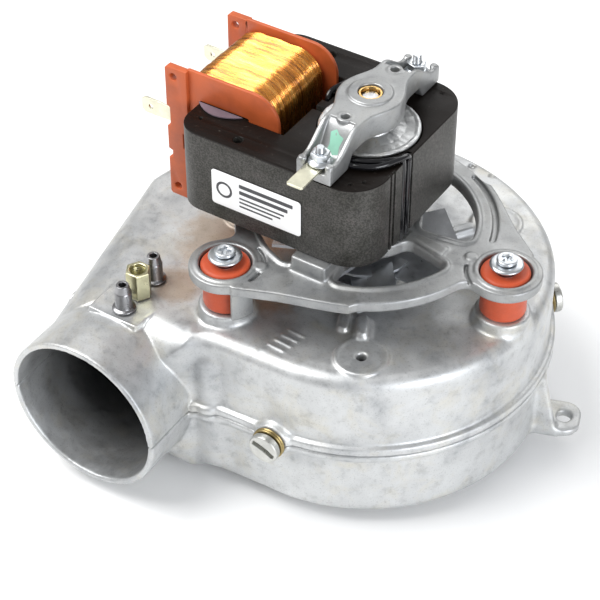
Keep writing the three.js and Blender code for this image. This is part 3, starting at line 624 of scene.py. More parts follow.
def varnished_iron(name):
    """Sheet iron under grainy varnish; the top sheet is painted with a near-black shade and is duller."""
    look = Look(name)
    dirt = look.noise(8, 5, 0.65)
    fleck = look.noise(0.7, 3, 0.7)
    base = look.ramp(dirt, (0.32, (0.038, 0.037, 0.032)), (0.58, (0.07, 0.067, 0.062)),
                     (0.76, (0.1, 0.09, 0.085)))
    base = look.mix(0.7, base, look.ramp(fleck, (0.42, 0.45), (0.6, 1.5)), "MULTIPLY")
    top_painted_shade_and_dull = look.math("GREATER_THAN", look.along("Z"), (STACK_TOP - 0.2) * MM)
    # painted shade: the top sheet is coloured near-black
    base = look.mix(top_painted_shade_and_dull, base, (0.006, 0.004, 0.003))
    spots = look.ramp(look.noise(1.6, 4, 0.75), (0.64, 0.0), (0.7, 1.0))
    color = look.mix(look.times(spots, 0.35), base, (0.14, 0.12, 0.1))
    side = look.math("SUBTRACT", 1.0, top_painted_shade_and_dull)
    look.set("Metallic", look.times(side, 0.6))
    look.set("Specular IOR Level", look.math("ADD", look.times(side, 0.35), 0.15))
    return look.finished(color, look.spread(dirt, 0.38, 0.52), (look.layers(0.5), 0.03, 0.2),
                         (fleck, 0.05, 0.6), (dirt, 0.15, 0.25))


def moulded(name, color, roughness=0.45):
    """Moulded plastic, paper or paint with soft clouds."""
    look = Look(name)
    cloud = look.noise(11, 4)
    light = tuple(min(1.0, c * 1.12) for c in color)
    base = look.ramp(cloud, (0.3, toned(0.75, *color)), (0.52, color), (0.75, light))
    return look.finished(base, look.spread(cloud, roughness - 0.06, roughness + 0.1), (cloud, 0.2, 0.2),
                         (look.noise(0.5, 2), 0.03, 0.35))


def rubber(name, color):
    look = Look(name, Sheen_Weight=0.15)
    cloud = look.noise(5, 4)
    specks = look.noise(0.6, 2, 0.7)
    # pale dust specks on the rubber
    overlay_mask = look.ramp(specks, (0.6, 0.0), (0.72, 1.0))
    base = look.ramp(cloud, (0.3, toned(0.8, *color)), (0.7, color))
    base = look.mix(look.times(overlay_mask, 0.18), base, (0.6, 0.3, 0.2))
    return look.finished(base, look.spread(specks, 0.42, 0.62), (cloud, 0.15, 0.2), (specks, 0.04, 0.4))


def enamelled_copper(name):
    """Fine wire: bright and dark bands of painted highlight and painted shade follow the turns, thin uneven
    lines part them.
    """
    look = Look(name, Metallic=0.9, Coat_Weight=0.8, Coat_Roughness=0.12)
    painted_light_bands_and_relief = look.noise(2.2, 3, 0.6, stretch=(0.1, 1, 0.1))
    fine = look.noise(0.4, 3, 0.65, stretch=(0.03, 1, 0.03))
    # painted highlights and painted shade: the ramp runs from dark brown through orange to pale gold
    base = look.ramp(painted_light_bands_and_relief, (0.28, (0.24, 0.065, 0.006)), (0.5, (0.72, 0.27, 0.03)),
                     (0.7, (0.98, 0.5, 0.11)))
    color = look.mix(0.8, base, look.ramp(fine, (0.34, 0.35), (0.46, 1.0)), "MULTIPLY")
    return look.finished(color, look.spread(fine, 0.16, 0.3), (painted_light_bands_and_relief, 0.16, 0.5), (fine, 0.09, 0.8))


def lacquer(name):
    look = Look(name, Coat_Weight=0.4, Coat_Roughness=0.1, Specular_IOR_Level=0.35)
    cloud = look.noise(3, 3)
    color = look.ramp(cloud, (0.3, (0.003, 0.003, 0.004)), (0.7, (0.01, 0.01, 0.012)))
    return look.finished(color, look.spread(cloud, 0.08, 0.2), (cloud, 0.3, 0.35),
                         (look.noise(0.8, 2), 0.03, 0.2))


def printed_film(name):
    look = Look(name, Coat_Weight=0.3)
    cloud = look.noise(8, 3)
    color = look.ramp(cloud, (0.3, (0.86, 0.86, 0.85)), (0.7, (0.93, 0.93, 0.93)))
    return look.finished(color, look.spread(cloud, 0.3, 0.45), (look.noise(1.5, 3), 0.02, 0.15))


# Brown patches on the deck: the middle and the radius of each.
STAINS = (((-50, -44, 66), 16), ((-48, -16, 67), 30), ((-20, -34, 67), 18), ((-30, 24, 67), 26))
CAST = cast_metal("cast_aluminium", 0.58, 0.6, 0.42, 0.6, STAINS)
CAST_MATTE = cast_metal("matte_cast", 0.37, 0.3, 0.4)
CAST_ROUGH = cast_metal("rough_cast", 0.66, 0.5, 0.4, 1.1)
ZINC = machined_metal("zinc_steel", (0.68, 0.71, 0.74), 0.3, 0.05)
WORN_STEEL = machined_metal("worn_steel", (0.6, 0.6, 0.57), 0.32, 0.16)
TAP_STEEL = machined_metal("tap_steel", (0.34, 0.34, 0.35), 0.3, 0.06, 3.0)
YELLOW_ZINC = machined_metal("yellow_zinc", (0.64, 0.61, 0.4), 0.3, 0.06)
DARK_BRASS = machined_metal("clamp_brass", (0.36, 0.28, 0.13), 0.34)
BRONZE = machined_metal("bearing_bronze", (0.8, 0.52, 0.2), 0.28)
TINNED = machined_metal("tinned_brass", (0.78, 0.76, 0.6), 0.32, 0.1)
SHAFT_STEEL = machined_metal("shaft_steel", (0.55, 0.56, 0.58), 0.25)
SHEET_METAL = machined_metal("sheet_aluminium", (0.68, 0.7, 0.73), 0.34, 0.12, 2.5)
IRON = varnished_iron("lamination")
BOBBIN = moulded("bobbin_plastic", (0.5, 0.1, 0.026))
RUBBER = rubber("rubber", (0.55, 0.07, 0.014))
COPPER = enamelled_copper("copper")
LACQUER = lacquer("lacquer")
LABEL = printed_film("label_paper")
LINING = moulded("lining", (0.17, 0.13, 0.16), 0.5)
PRINT = moulded("label_ink", (0.06, 0.06, 0.065), 0.5)
PAINT_MARK = moulded("green_mark", (0.3, 0.62, 0.47), 0.4)


# ---------------------------------------------------------------- volute housing

def scroll_plan(x, y):
    angle = np.degrees(np.arctan2(y, x))
    travel = np.clip(angle + 60, 0, None) / 240
    return np.hypot(x, y) - SCROLL_RADIUS - SCROLL_GROWTH * travel ** SCROLL_POWER


def duct_left(y):
    """Where the left wall stands; behind the duct it follows the scroll."""
    full = -SCROLL_RADIUS - SCROLL_GROWTH
    travel = np.clip(y / OUTLET_ROOT_Y, 0, 1)
    straight = full + travel * (OUTLET_X - OUTLET_RADIUS - full)
    return np.where(y > 0, full + 0.149 * y + y * y / 185, straight)


def housing_plan(x, y):
    duct = np.maximum(duct_left(y) - x, x - OUTLET_X - OUTLET_RADIUS)
    duct = np.maximum(duct, rounded(x - OUTLET_X - OUTLET_RADIUS, OUTLET_ROOT_Y - y, 10))
    duct = np.maximum(duct, y - 12)
    wall = rectangle(x, y, -30, -3, -62.7 + 0.05 * (x + 30), -30)
    return join(np.minimum(scroll_plan(x, y), wall), duct, 9)


def housing_core(x, y, z, inset=0.0):
    """The casting without its outlet tube. An inset gives the room inside."""
    edge = EDGE_RADIUS - inset / 2
    plan = housing_plan(x, y) + inset
    body = prism(plan, z, BASE_Z + inset, DECK_Z - inset, edge)
    travel = np.clip(y / OUTLET_ROOT_Y, 0, 1)
    near_duct = smooth(-28, -45, x)
    slope = z - (DECK_Z - inset - 2 * travel * near_duct)
    floor = BASE_Z + inset + travel * near_duct - z
    left = duct_left(y) + inset - x
    turn = EDGE_RADIUS + travel * (OUTLET_RADIUS - EDGE_RADIUS) - inset
    shoulder = rounded(left, np.maximum(slope, floor), turn)
    front_y = OUTLET_ROOT_Y - 40 * smooth(-27, -8, x) + inset
    front_turn = EDGE_RADIUS + 6 * smooth(-18, -34, x) - inset / 2
    front = rounded(front_y - y, np.maximum(slope, floor), front_turn)
    return np.maximum(body, np.maximum(shoulder, front))


def tube(x, y, z, radius, start, end, lip=0.0):
    plan = np.hypot(x - OUTLET_X, z - SPLIT_Z) - radius
    return rounded(plan, np.abs(y - (start + end) / 2) - (end - start) / 2, lip)


# Clamp screws: the way that each one faces and its place in plan.
PLUGS = ((-88, (2.2, -61.8)), (47, (45.2, 48.5)), (180, (-88.6, -44)))
PLUG_REACH = 2.8


def plug_frame(x, y, plug):
    """Distances along and across the axis of a clamp screw."""
    angle, (px, py) = plug
    dx, dy = polar(1, angle)
    return (x - px) * dx + (y - py) * dy, (y - py) * dx - (x - px) * dy


def plug_disc(plug, radius, start, end, edge=0.0):
    """The field of a disc across the axis of a clamp screw."""
    def field(x, y, z):
        along, across = plug_frame(x, y, plug)
        plan = np.hypot(across, z - SPLIT_Z) - radius
        return rounded(plan, np.abs(along - (start + end) / 2) - (end - start) / 2, edge)
    return field


def scroll_radius(degrees):
    return SCROLL_RADIUS + SCROLL_GROWTH * (max(0, degrees + 60) / 240) ** SCROLL_POWER


# Fixing tabs: the way that each one points and its place on the wall.
TABS = tuple((angle, polar(scroll_radius(angle), angle)) for angle in (18.4, 112)) + ((180, (-91.2, -28)),)
TAB_LOW, TAB_TOP, TAB_HALF, TAB_REACH = 7.0, 10.0, 7.9, 15.6


def tab(angle, place):
    """The field of a fixing tab with its hole and its gusset."""
    dx, dy = polar(1, angle)

    def field(x, y, z):
        along = (x - place[0]) * dx + (y - place[1]) * dy
        across = (y - place[1]) * dx - (x - place[0]) * dy
        plan = rectangle(along, across, -8, TAB_REACH, -TAB_HALF, TAB_HALF, 6)
        ear = prism(plan, z, TAB_LOW, TAB_TOP, 0.6)
        hole = np.hypot(along - 9.6, across) - 2.7
        ramp = (along - 1.6) * 0.974 + (z - SPLIT_Z) * 0.228
        gusset = np.maximum(np.maximum(ramp, -4 - along), np.abs(z - 20) - 13)
        gusset = rounded(gusset, np.abs(across + TAB_HALF - 1.5) - 1.5, 0.7)
        return np.maximum(join(ear, gusset, 2.5), -hole)
    return field


def housing_room(x, y, z):
    """The hollow inside the two castings and the outlet tube."""
    return np.minimum(housing_core(x, y, z, WALL), tube(x, y, z, OUTLET_BORE, -110, -50))


RIB = (-25.0, -61.4)       # the upright rib beside the outlet
LIP_HALF = 3.2             # half the height of the lip along the parting plane


def housing(grid):
    """Both shells in one, before they are parted."""
    x, y, z = grid.everywhere()
    outside = housing_core(x, y, z)
    lip_plan = np.maximum(housing_plan(x, y) - 2.2, -68.2 - y)
    lip = prism(lip_plan, z, SPLIT_Z - LIP_HALF, SPLIT_Z + LIP_HALF, 1.0)
    rib_lip = prism(circle(x, y, *RIB, 5.8), z, SPLIT_Z - LIP_HALF, SPLIT_Z + LIP_HALF, 1.0)
    outside = join(outside, prism(circle(x, y, *RIB, 3.6), z, SPLIT_Z, 58, 2.5), 3.0)
    outside = join(outside, prism(circle(x, y, -23.5, -57.6, 8), z, 8, SPLIT_Z, 4), 3.0)
    outside = join(outside, np.minimum(lip, rib_lip), 1.4)
    grid.field = np.minimum(outside, tube(x, y, z, OUTLET_RADIUS, OUTLET_FACE_Y, -40, 0.5))
    for plug in PLUGS:
        grid.add(plug_disc(plug, 6.4, -3, PLUG_REACH, 0.6), *around(*plug[1], 12, 24, 46), 2.5)
    grid.field = np.maximum(grid.field, -housing_room(x, y, z))
    for plug in PLUGS:
        near = around(*plug[1], 16, 24, 46)
        grid.cut(plug_disc(plug, 6.8, PLUG_REACH, 14), *near)
        grid.cut(plug_disc(plug, 2.8, -8, 8), *near)


SEATS = tuple(polar(GROMMET_RADIUS, angle) for angle in GROMMET_ANGLES)
SCREW_PADS = tuple(polar(radius, angle) for radius, angle in ((48.8, -60.5), (52, 57), (48.8, 179.5)))
TAP_X = -57.6
TAP_Y = (-63.6, -54.8, -45.8)
PAD_CORNERS = ((-68.4, -69), (-49.2, -69), (-47.5, -56.3), (-67.9, -46.5))


def pad_plan(x, y):
    """The flat pad round the pressure taps, a four-sided shape."""
    found = np.full(np.broadcast(x, y).shape, -1e3, np.float32)
    corners = PAD_CORNERS + PAD_CORNERS[:1]
    for (ax, ay), (bx, by) in zip(corners, corners[1:]):
        length = math.hypot(bx - ax, by - ay)
        found = np.maximum(found, ((x - ax) * (by - ay) - (y - ay) * (bx - ax)) / length)
    return found


def upper_shell():
    grid = Grid((-97, -91, SPLIT_Z + SEAM - 1.4), (78, 82, 73), 0.6)
    housing(grid)
    for x, y in SEATS:
        near = around(x, y, 14, 60, 73)
        grid.add(post(x, y, 9.6, DECK_ROOT, BOSS_Z, 0.8), *near, 2.2)
        grid.cut(post(x, y, 2.2, 65, DECK_CLEAR), *near)
    for x, y in SCREW_PADS:
        near = around(x, y, 12, 60, 72)
        inward = Vector((x, y)) * 0.79
        deep = Vector((x, y)) * 0.66
        low = (min(x, deep.x) - 6, min(y, deep.y) - 6, 60)
        high = (max(x, deep.x) + 6, max(y, deep.y) + 6, 72)
        grid.add(ridge(inward, deep, 2.1, DECK_ROOT, 70.2, 0.9), low, high, 3)
        grid.add(post(x, y, 9.2, DECK_ROOT, 67.9, 0.4), *near, 1.0)
        grid.cut(post(x, y, 7.6, 67.6, 72, 0.2), *near, 0.3)
        grid.cut(post(x, y, 1.75, 62, DECK_CLEAR), *near, 0.8)
    pad_box = ((-72, -71, 60), (-45, -44, 68))
    grid.cut(lambda x, y, z: prism(pad_plan(x, y), z, PAD_Z - 0.25, 72), *pad_box)
    grid.add(lambda x, y, z: prism(pad_plan(x, y), z, DECK_ROOT, PAD_Z - 0.25), *pad_box, 0.4)
    grid.add(lambda x, y, z: prism(np.abs(pad_plan(x, y)) - 0.4, z, 61, PAD_Z + 0.15, 0.2), *pad_box, 0.4)
    for y in TAP_Y:
        grid.cut(post(TAP_X, y, 2.3, 63, DECK_CLEAR), *around(TAP_X, y, 5, 60, 72))
    centre = around(0, 0, 20, 58, 73)
    grid.add(post(0, 0, 16, DECK_ROOT, 67.7, 0.4), *centre, 1)
    grid.cut(post(0, 0, 11, 55, DECK_CLEAR), *centre)
    for i in range(4):
        x, y = polar(53.6 - 3.2 * i, -92.5 + 0.7 * i)
        line = ridge((x - 3.1, y + 0.2), (x + 3.1, y - 0.2), 0.55, DECK_ROOT, 67.5, 0.2)
        grid.add(line, (x - 6, y - 4, 64), (x + 6, y + 4, 70), 0.3)
    grid.add(ridge((9.3, -28.5), (11.5, -33.5), 1.9, DECK_ROOT, 68.8, 0.6), (3, -40, 62), (18, -22, 71), 1.2)
    for x, y in ((4.4, 68.7), (13.4, 67.8)):
        grid.cut(post(x, y, 1.3, 65.5, DECK_CLEAR), *around(x, y, 3, 63, 72))
    _, _, z = grid.everywhere()
    grid.field = np.maximum(grid.field, SPLIT_Z + SEAM - z)
    return casting("volute_upper", grid, CAST, ["upper_shell"], housing_room)


def lower_shell():
    grid = Grid((-109, -91, -1.4), (83, 90, SPLIT_Z + 1.4), 0.75)
    housing(grid)
    for angle, place in TABS:
        grid.add(tab(angle, place), *around(*place, 22, 2, 34), 2.0)
    base = around(0, 0, 52, -2, 14)
    grid.add(hoop(42.5, 3.5, 0, 6, 0.7), *base, 1.5)
    grid.add(hoop(34.9, 1.4, 4.5, 10.5, 0.6), *base, 1)
    grid.cut(post(0, 0, INLET_RADIUS, -5, 20), *base)
    _, _, z = grid.everywhere()
    grid.field = np.maximum(grid.field, z - SPLIT_Z + SEAM)
    return casting("volute_lower", grid, CAST, ["lower_shell"], housing_room)


# ---------------------------------------------------------------- spider bracket

RING_OUTER, RING_INNER = 45.4, 37.3
CUP_RADIUS, CUP_BORE = 12.4, 8.9
# The openings of the bracket, each between two angles.
WINDOWS = ((-80, -9.5), (6, 80), (100, 170), (190, 260))


def turned(x, y, degrees):
    """The place seen from axes turned by this much."""
    c, s = polar(1, degrees)
    return x * c + y * s, y * c - x * s


def window_plan(x, y, start, end):
    """An opening between the ring and the hub, between two spokes."""
    radial = np.abs(np.hypot(x, y) - (RING_INNER + 19) / 2) - (RING_INNER - 19) / 2
    middle, half = (start + end) / 2, (end - start) / 2 - 3
    u, v = turned(x, y, middle)
    c, s = polar(1, half)
    sides = np.abs(v) * c - u * s
    return rounded(radial, sides, 3.2)


def lobe_plan(x, y, angle):
    """A cup with its tangent web to the ring."""
    u, v = turned(x, y, angle)
    lean = math.acos((RING_OUTER - CUP_RADIUS) / GROMMET_RADIUS)
    tangent = u * math.cos(lean) + v * math.sin(lean) - RING_OUTER
    past_ring = v * math.cos(lean) - u * math.sin(lean)
    web = np.maximum(np.maximum(tangent, -v), np.maximum(past_ring, u - GROMMET_RADIUS - 4))
    return np.minimum(np.hypot(u - GROMMET_RADIUS, v) - CUP_RADIUS, web)


def spider_plan(x, y):
    plan = np.hypot(x, y) - RING_OUTER
    for angle in GROMMET_ANGLES:
        plan = join(plan, lobe_plan(x, y, angle), 7)
    return plan


def arc_mark(x, y, centre, radius, start, end, half_width):
    """A bent bar that follows an arc."""
    u, v = turned(x - centre[0], y - centre[1], (start + end) / 2)
    half = math.radians(end - start) / 2
    along = np.clip(np.arctan2(v, u), -half, half)
    return np.hypot(u - radius * np.cos(along), v - radius * np.sin(along)) - half_width


def raised(body, x, y, cx, cy, radius, z, low, high, edge, fillet):
    """A body with a round post joined on."""
    return join(body, prism(circle(x, y, cx, cy, radius), z, low, high, edge), fillet)


def bored(body, x, y, cx, cy, radius, z, low, high, edge=0.0, fillet=0.0):
    """A body with a round hole sunk into it."""
    return -join(-body, prism(circle(x, y, cx, cy, radius), z, low, high, edge), fillet)


# Marks along the ring and the cups: the middle, the radius and the two ends of each arc.
GROOVES = (
    ((53.7, 0), 13.3, 199, 236), ((53.7, 0), 13.6, 172, 182), ((0, 0), 43.9, 15, 62),
    ((-26.85, -46.5), 12.9, 34, 66), ((-26.85, -46.5), 12.4, -14, 6), ((-26.85, 46.5), 13.3, -34, -66),
)


def cup(body, x, y, z, angle):
    """The collar and the hanging skirt of one rubber mount."""
    cx, cy = polar(GROMMET_RADIUS, angle)
    collar = prism(np.abs(circle(x, y, cx, cy, 9.8)) - 0.8, z, PLATE_LOW, PLATE_TOP + 0.45, 0.35)
    body = join(body, collar, 0.4)
    u, v = turned(x, y, angle)
    skirt_angle = np.degrees(np.arctan2(v, u - GROMMET_RADIUS))
    skirt = np.abs(np.hypot(u - GROMMET_RADIUS, v) - 10.9) - 1.1
    skirt = rounded(skirt, (np.abs(skirt_angle - 93) - 21) * 0.19, 0.5)
    return join(body, prism(skirt, z, 72, PLATE_LOW + 1, 0.5), 1.2)


def spider_bracket():
    grid = Grid((-43, -61, 70.8), (68, 61, 95), 0.42)
    x, y, z = grid.everywhere()
    body = prism(spider_plan(x, y), z, PLATE_LOW, PLATE_TOP, 0.6)
    for window in WINDOWS:
        border = np.abs(window_plan(x, y, *window) - 1.1) - 0.9
        body = join(body, prism(border, z, PLATE_LOW + 1, PLATE_TOP + 0.7, 0.4), 0.7)
    for angle in GROMMET_ANGLES:
        body = cup(body, x, y, z, angle)
    label_pad = rectangle(*turned(x - 24.7, y + 2.4, -4), -7.7, 7.7, -2.6, 2.6, 0.8)
    body = join(body, prism(label_pad, z, PLATE_LOW, PLATE_TOP + 0.6, 0.25), 0.5)
    body = raised(body, x, y, 0, 0, 13, z, 79, PLATE_TOP + 0.2, 1.0, 2.0)
    for window in WINDOWS:
        body = -join(-body, prism(window_plan(x, y, *window), z, 70, 99, 0), 0.5)
    block = prism(rectangle(x, np.abs(y), -6.8, 6.6, 24.5, 38, 1.2), z, PLATE_LOW, STACK_LOW - 0.3, 0.5)
    body = join(body, block, 1.5)
    body = np.maximum(body, -prism(rectangle(x, y, -64, -22.6, -19.3, 19.3, 2), z, 70, 99))
    for cx, cy in SEATS:
        body = bored(body, x, y, cx, cy, CUP_BORE, z, 85.2, 99, 0.3, 0.4)
        body = bored(body, x, y, cx, cy, 5.8, z, *PLATE_CUT)
    for centre, radius, start, end in GROOVES:
        width = 0.95 if radius > 40 else 0.55
        mark = arc_mark(x, y, centre, radius, start, end, width)
        body = -join(-body, prism(mark, z, PLATE_TOP - 1.6, 99), 0.3)
    for cx, cy in ((-15.7, -42.0), (40.7, 0.2), (-15.7, 42.0)):
        body = raised(body, x, y, cx, cy, 2.2, z, PLATE_LOW, PLATE_TOP + 0.5, 0.3, 0.3)
    body = np.maximum(body, -prism(np.hypot(x, np.abs(y) - BOLT_Y) - 2.3, z, *PLATE_CUT))
    body = bored(body, x, y, 0, 0, 6, z, 80.2, 99)
    grid.field = bored(body, x, y, 0, 0, 3.6, z, *PLATE_CUT)
    return casting("bracket", grid, CAST_MATTE, ["spider_bracket"])


# ---------------------------------------------------------------- bearing bridge

BRIDGE_UNDER, BRIDGE_HUB, BRIDGE_RING = 130.4, 139.1, 139.9
BRIDGE_PAD, BRIDGE_FLOOR, BRIDGE_ARM = 125.7, 129.3, 132.2
BRIDGE_HALF, BRIDGE_END = 6.4, 34.8
BRIDGE_CUT = (120, 150)    # from well under to well over the bridge
TAPPED_Y = 15.6


def trough_floor(reach):
    """The height of the sunk top of an arm at this distance from the shaft."""
    top = BRIDGE_HUB - 0.8
    return top - (top - BRIDGE_FLOOR) * smooth(17, 25.6, reach)


def bearing_bridge():
    grid = Grid((-12.5, -36, 124.6), (12.5, 36, 141), 0.28)
    x, y, z = grid.everywhere()
    reach = np.abs(y)
    plan = join(np.hypot(x, y) - 10.9, np.maximum(np.abs(x) - BRIDGE_HALF, reach - BRIDGE_END), 6)
    top = BRIDGE_HUB - (BRIDGE_HUB - BRIDGE_ARM) * smooth(17.5, 31, reach)
    under = BRIDGE_UNDER - (BRIDGE_UNDER - BRIDGE_PAD) * smooth(20.5, 24.5, reach)
    body = rounded(plan, np.maximum(z - top, under - z), 0.6)
    trough = np.maximum(np.abs(x) - 4.75, 17.2 - reach)
    trough = rounded(trough, trough_floor(reach) - z, 0.4)
    body = -join(-body, trough, 0.4)
    post = np.hypot(np.abs(x) - 5.05, reach - 33.2) - 1.4
    body = join(body, prism(post, z, 127, BRIDGE_ARM + 0.6, 0.6), 0.4)
    collar = rounded(np.hypot(x, y) - 7.7 + (z - BRIDGE_HUB) * 0.5, z - BRIDGE_RING, 0.25)
    body = join(body, np.maximum(collar, BRIDGE_HUB - 3 - z), 0.3)
    for hole_y in (-TAPPED_Y, TAPPED_Y):
        body = raised(body, x, y, 0, hole_y, 2.8, z, BRIDGE_UNDER + 1, BRIDGE_HUB + 0.2, 0.3, 0.3)
        body = bored(body, x, y, 0, hole_y, 1.5, z, BRIDGE_HUB - 2.5, 150)
    body = np.maximum(body, -prism(np.hypot(x, reach - BOLT_Y) - 2.3, z, *BRIDGE_CUT))
    body = bored(body, x, y, 0, 0, 6, z, 120, 136.2)
    grid.field = bored(body, x, y, 0, 0, 4.2, z, *BRIDGE_CUT, 0.0, 0.5)
    return casting("bridge", grid, CAST_MATTE, ["bearing_bridge"])


# ---------------------------------------------------------------- fasteners and rubber mounts

def cross_loop(cx, cy, reach, half, degrees):
    """The outline of a cross-shaped recess."""
    corners = []
    for quarter in range(4):
        for x, y in ((reach, -half), (reach, half), (half, half)):
            dx, dy = turned(x, y, -degrees - 90 * quarter)
            corners.append((cx + dx, cy + dy))
    return corners


def ridged(radius, depth, pitch, start, end):
    """The profile of a thread drawn as rings, from start up to end."""
    count = int((end - start) / pitch * 2)
    return [(radius - depth * (k % 2), start + pitch / 2 * k) for k in range(count)]


def grommet_screw(cx, cy, degrees):
    """A pan head with a cross recess on a plain shank."""
    seat = SLEEVE_TOP + 1.8
    top = seat + 1.4
    head = plate([ring_loop(cx, cy, 3.5, 44), cross_loop(cx, cy, 1.9, 0.48, degrees)], seat, top, 0.45)
    bottom = [(3.2, top - 0.7), (3.2, seat + 0.2), (1.8, seat + 0.2), (1.8, 66), (0, 66), (0, seat + 0.5),
              (3.0, seat + 0.5), (3.0, top - 0.7)]
    return merged(head, lathe(bottom, (cx, cy, 0)))


def grommets():
    """Each rubber mount with its washer and its screw."""
    flange = softened([(3.7, 86), (5.6, 86), (8.3, 85.6), (8.5, 87.4), (7.6, 88.3), (3.7, 88.5)], 0.6)
    column = softened([(3.7, BOSS_Z + 0.2), (7.6, BOSS_Z + 0.2), (8.0, 72.4), (7.8, 78), (8.0, 83.6),
                       (5.5, 83.7), (5.5, 86.2), (3.7, 86.2)], 0.5)
    low = SLEEVE_TOP + GAP
    washer = softened([(2.3, low), (5.6, low), (5.8, low + 0.5), (5.2, low + 1.05), (4.0, low + 1.2),
                       (2.3, low + 1.2)], 0.25)
    for number, (x, y), twist in zip((1, 2, 3), SEATS, (25, -10, 50)):
        place = (x, y, 0)
        body = merged(lathe(column, place), lathe(flange, place))
        shaped(f"rubber_mount_{number}", body, RUBBER, [f"grommet_{number}"], 50)
        shaped(f"mount_washer_{number}", lathe(washer, place), ZINC,
               [f"grommet_washer_{number}"])
        shaped(f"mount_screw_{number}", grommet_screw(x, y, twist), ZINC,
               [f"grommet_screw_{number}"])


def slotted_screw(plug):
    """The field of a clamp screw with a slot and a dished head."""
    face = PLUG_REACH + 2.4

    def field(x, y, z):
        along, across = plug_frame(x, y, plug)
        up = z - SPLIT_Z
        radius = np.hypot(across, up)
        head = rounded(radius - 5.5, np.abs(along - face - 1.4) - 1.4, 0.5)
        shank = np.maximum(radius - 2.4, np.abs(along - face + 3) - 3.2)
        u, v = turned(across, up, -24)
        slot = np.maximum(np.abs(v) - 1.0, np.maximum(np.abs(u) - 4.4, face + 0.7 - along))
        dish = radius * 0.1 - (along - face - 2.3)
        return np.maximum(np.maximum(np.minimum(head, shank), -slot), -np.maximum(dish, radius - 4.4))
    return field


def clamp_screws():
    """The screws on the parting line, each with its spring washers."""
    coils = softened([(2.8, 0), (5.7, 0), (6.0, 0.35), (5.7, 0.8), (5.5, 0.9), (5.7, 1.0), (6.0, 1.4),
                      (5.7, 1.8), (2.8, 1.8)], 0.15)
    for number, plug in enumerate(PLUGS, 1):
        angle, (px, py) = plug
        dx, dy = polar(PLUG_REACH + GAP, angle)
        ring = lathe(coils, (px + dx, py + dy, SPLIT_Z), facing(angle))
        shaped(f"clamp_ring_{number}", ring, DARK_BRASS, [f"clamp_washer_{number}"])
        grid = Grid(*around(px, py, 10, SPLIT_Z - 5.8, SPLIT_Z + 5.8), 0.2)
        grid.field = slotted_screw(plug)(*grid.everywhere())
        casting(f"clamp_bolt_{number}", grid, WORN_STEEL, [f"clamp_screw_{number}"])


def bridge_bolts():
    """A threaded stud with a nut and a cone washer on each bridge arm."""
    top = 136.6
    for name, cy, seat in (("front", -BOLT_Y, 130.7), ("rear", BOLT_Y, 129.6)):
        nut = plate([hexagon(0, cy, 2.8, 42), ring_loop(0, cy, 1.45)], seat + 0.9, seat + 4, 0.35)
        cone = softened([(1.5, seat), (4.1, seat), (4.15, seat + 0.5), (3.0, seat + 1.5),
                         (1.5, seat + 1.5)], 0.2)
        start = seat + 3.5
        stud = [(0, STACK_LOW - 8.4), (1.9, STACK_LOW - 8.4), (1.9, start - 3), (1.5, start - 2.6),
                *ridged(1.5, 0.18, 0.5, start, top), (1.2, top), (0, top)]
        shape = merged(nut, lathe(cone, (0, cy, 0)), lathe(stud, (0, cy, 0), segments=32))
        shaped(f"bridge_nut_{name}", shape, ZINC, [f"bridge_bolt_{name}"])


def taps():
    """The two pressure taps and the hexagonal standoff between them."""
    base = PAD_Z + GAP
    nipple = softened([(0, PAD_Z - 2), (2, PAD_Z - 2), (2, base), (4.1, base), (4.1, base + 0.6),
                       (3.0, base + 1.1), (3.0, base + 7.2), (2.75, base + 7.6), (2.2, base + 10.4),
                       (1.3, base + 10.4), (1.2, base + 4), (0, base + 4)], 0.2)
    front, middle, rear = TAP_Y
    for name, y, lift in (("front", front, 0), ("rear", rear, 0.3)):
        shaped(f"nipple_{name}", lathe(nipple, (TAP_X, y, lift)), TAP_STEEL,
               [f"pressure_tap_{name}"])
    top, bottom = base + 11, base + 4
    body = plate([hexagon(TAP_X, middle, 3.95, 0), ring_loop(TAP_X, middle, 2.75, 35)], base, top, 0.45)
    thread = ridged(2.85, 0.25, 0.8, bottom, top)[:-1]
    core = [(3.2, top - 1), (3.2, base + 1), (2, base + 1), (2, PAD_Z - 2), (0, PAD_Z - 2), (0, bottom),
            *thread]
    shape = merged(body, lathe(core, (TAP_X, middle, 0), segments=48))
    shaped("hex_standoff", shape, YELLOW_ZINC, ["tap_standoff"])


# ---------------------------------------------------------------- motor

def stator():
    """The stack of sheets: the outline, the bore with its window for the coil, and the bolt holes."""
    right, left, half = STACK_RIGHT, STACK_LEFT, STACK_HALF
    outline = arc(right - 13, -half + 13, 13, -90, 0, 14)
    for y0, y1, depth in ((-19.3, -18.2, 0.9), (-17.0, -15.8, 0.9), (-11.6, -4.9, 2.4)):
        outline += [(right, y0), (right - depth, y0), (right - depth, y1), (right, y1)]
    outline += arc(right - 13, half - 13, 13, 0, 90, 14) + arc(left + 9, half - 9, 9, 90, 180, 10)
    outline += arc(left + 9, -half + 9, 9, 180, 270, 10)
    bore = 17.5
    neck = 1.2
    neck_turn = math.degrees(math.asin(neck / bore))
    window = [(-35.9, -19), (-21.5, -19), (-21.5, -neck),
              *arc(0, 0, bore, 180 + neck_turn, 540 - neck_turn, 72), (-21.5, neck), (-21.5, 4.9),
              (-19.2, 4.9), (-19.2, 12.6), (-21.5, 12.6), (-21.5, 19), (-35.9, 19)]
    loops = [outline, window]
    for x, y, radius in ((-32.5, -29.2, 1.7), (-32.5, 29.2, 1.7), (0, -BOLT_Y, 2.3), (0, BOLT_Y, 2.3),
                         (-49.6, -25.9, 0.6), (10.5, -29.5, 0.6), (13.7, -26.2, 0.6), (10.5, 29.5, 0.6)):
        loops.append(ring_loop(x, y, radius))
    shaped("stator_core", plate(loops, STACK_LOW, STACK_TOP, 0.35), IRON, ["stator_stack"], 30)


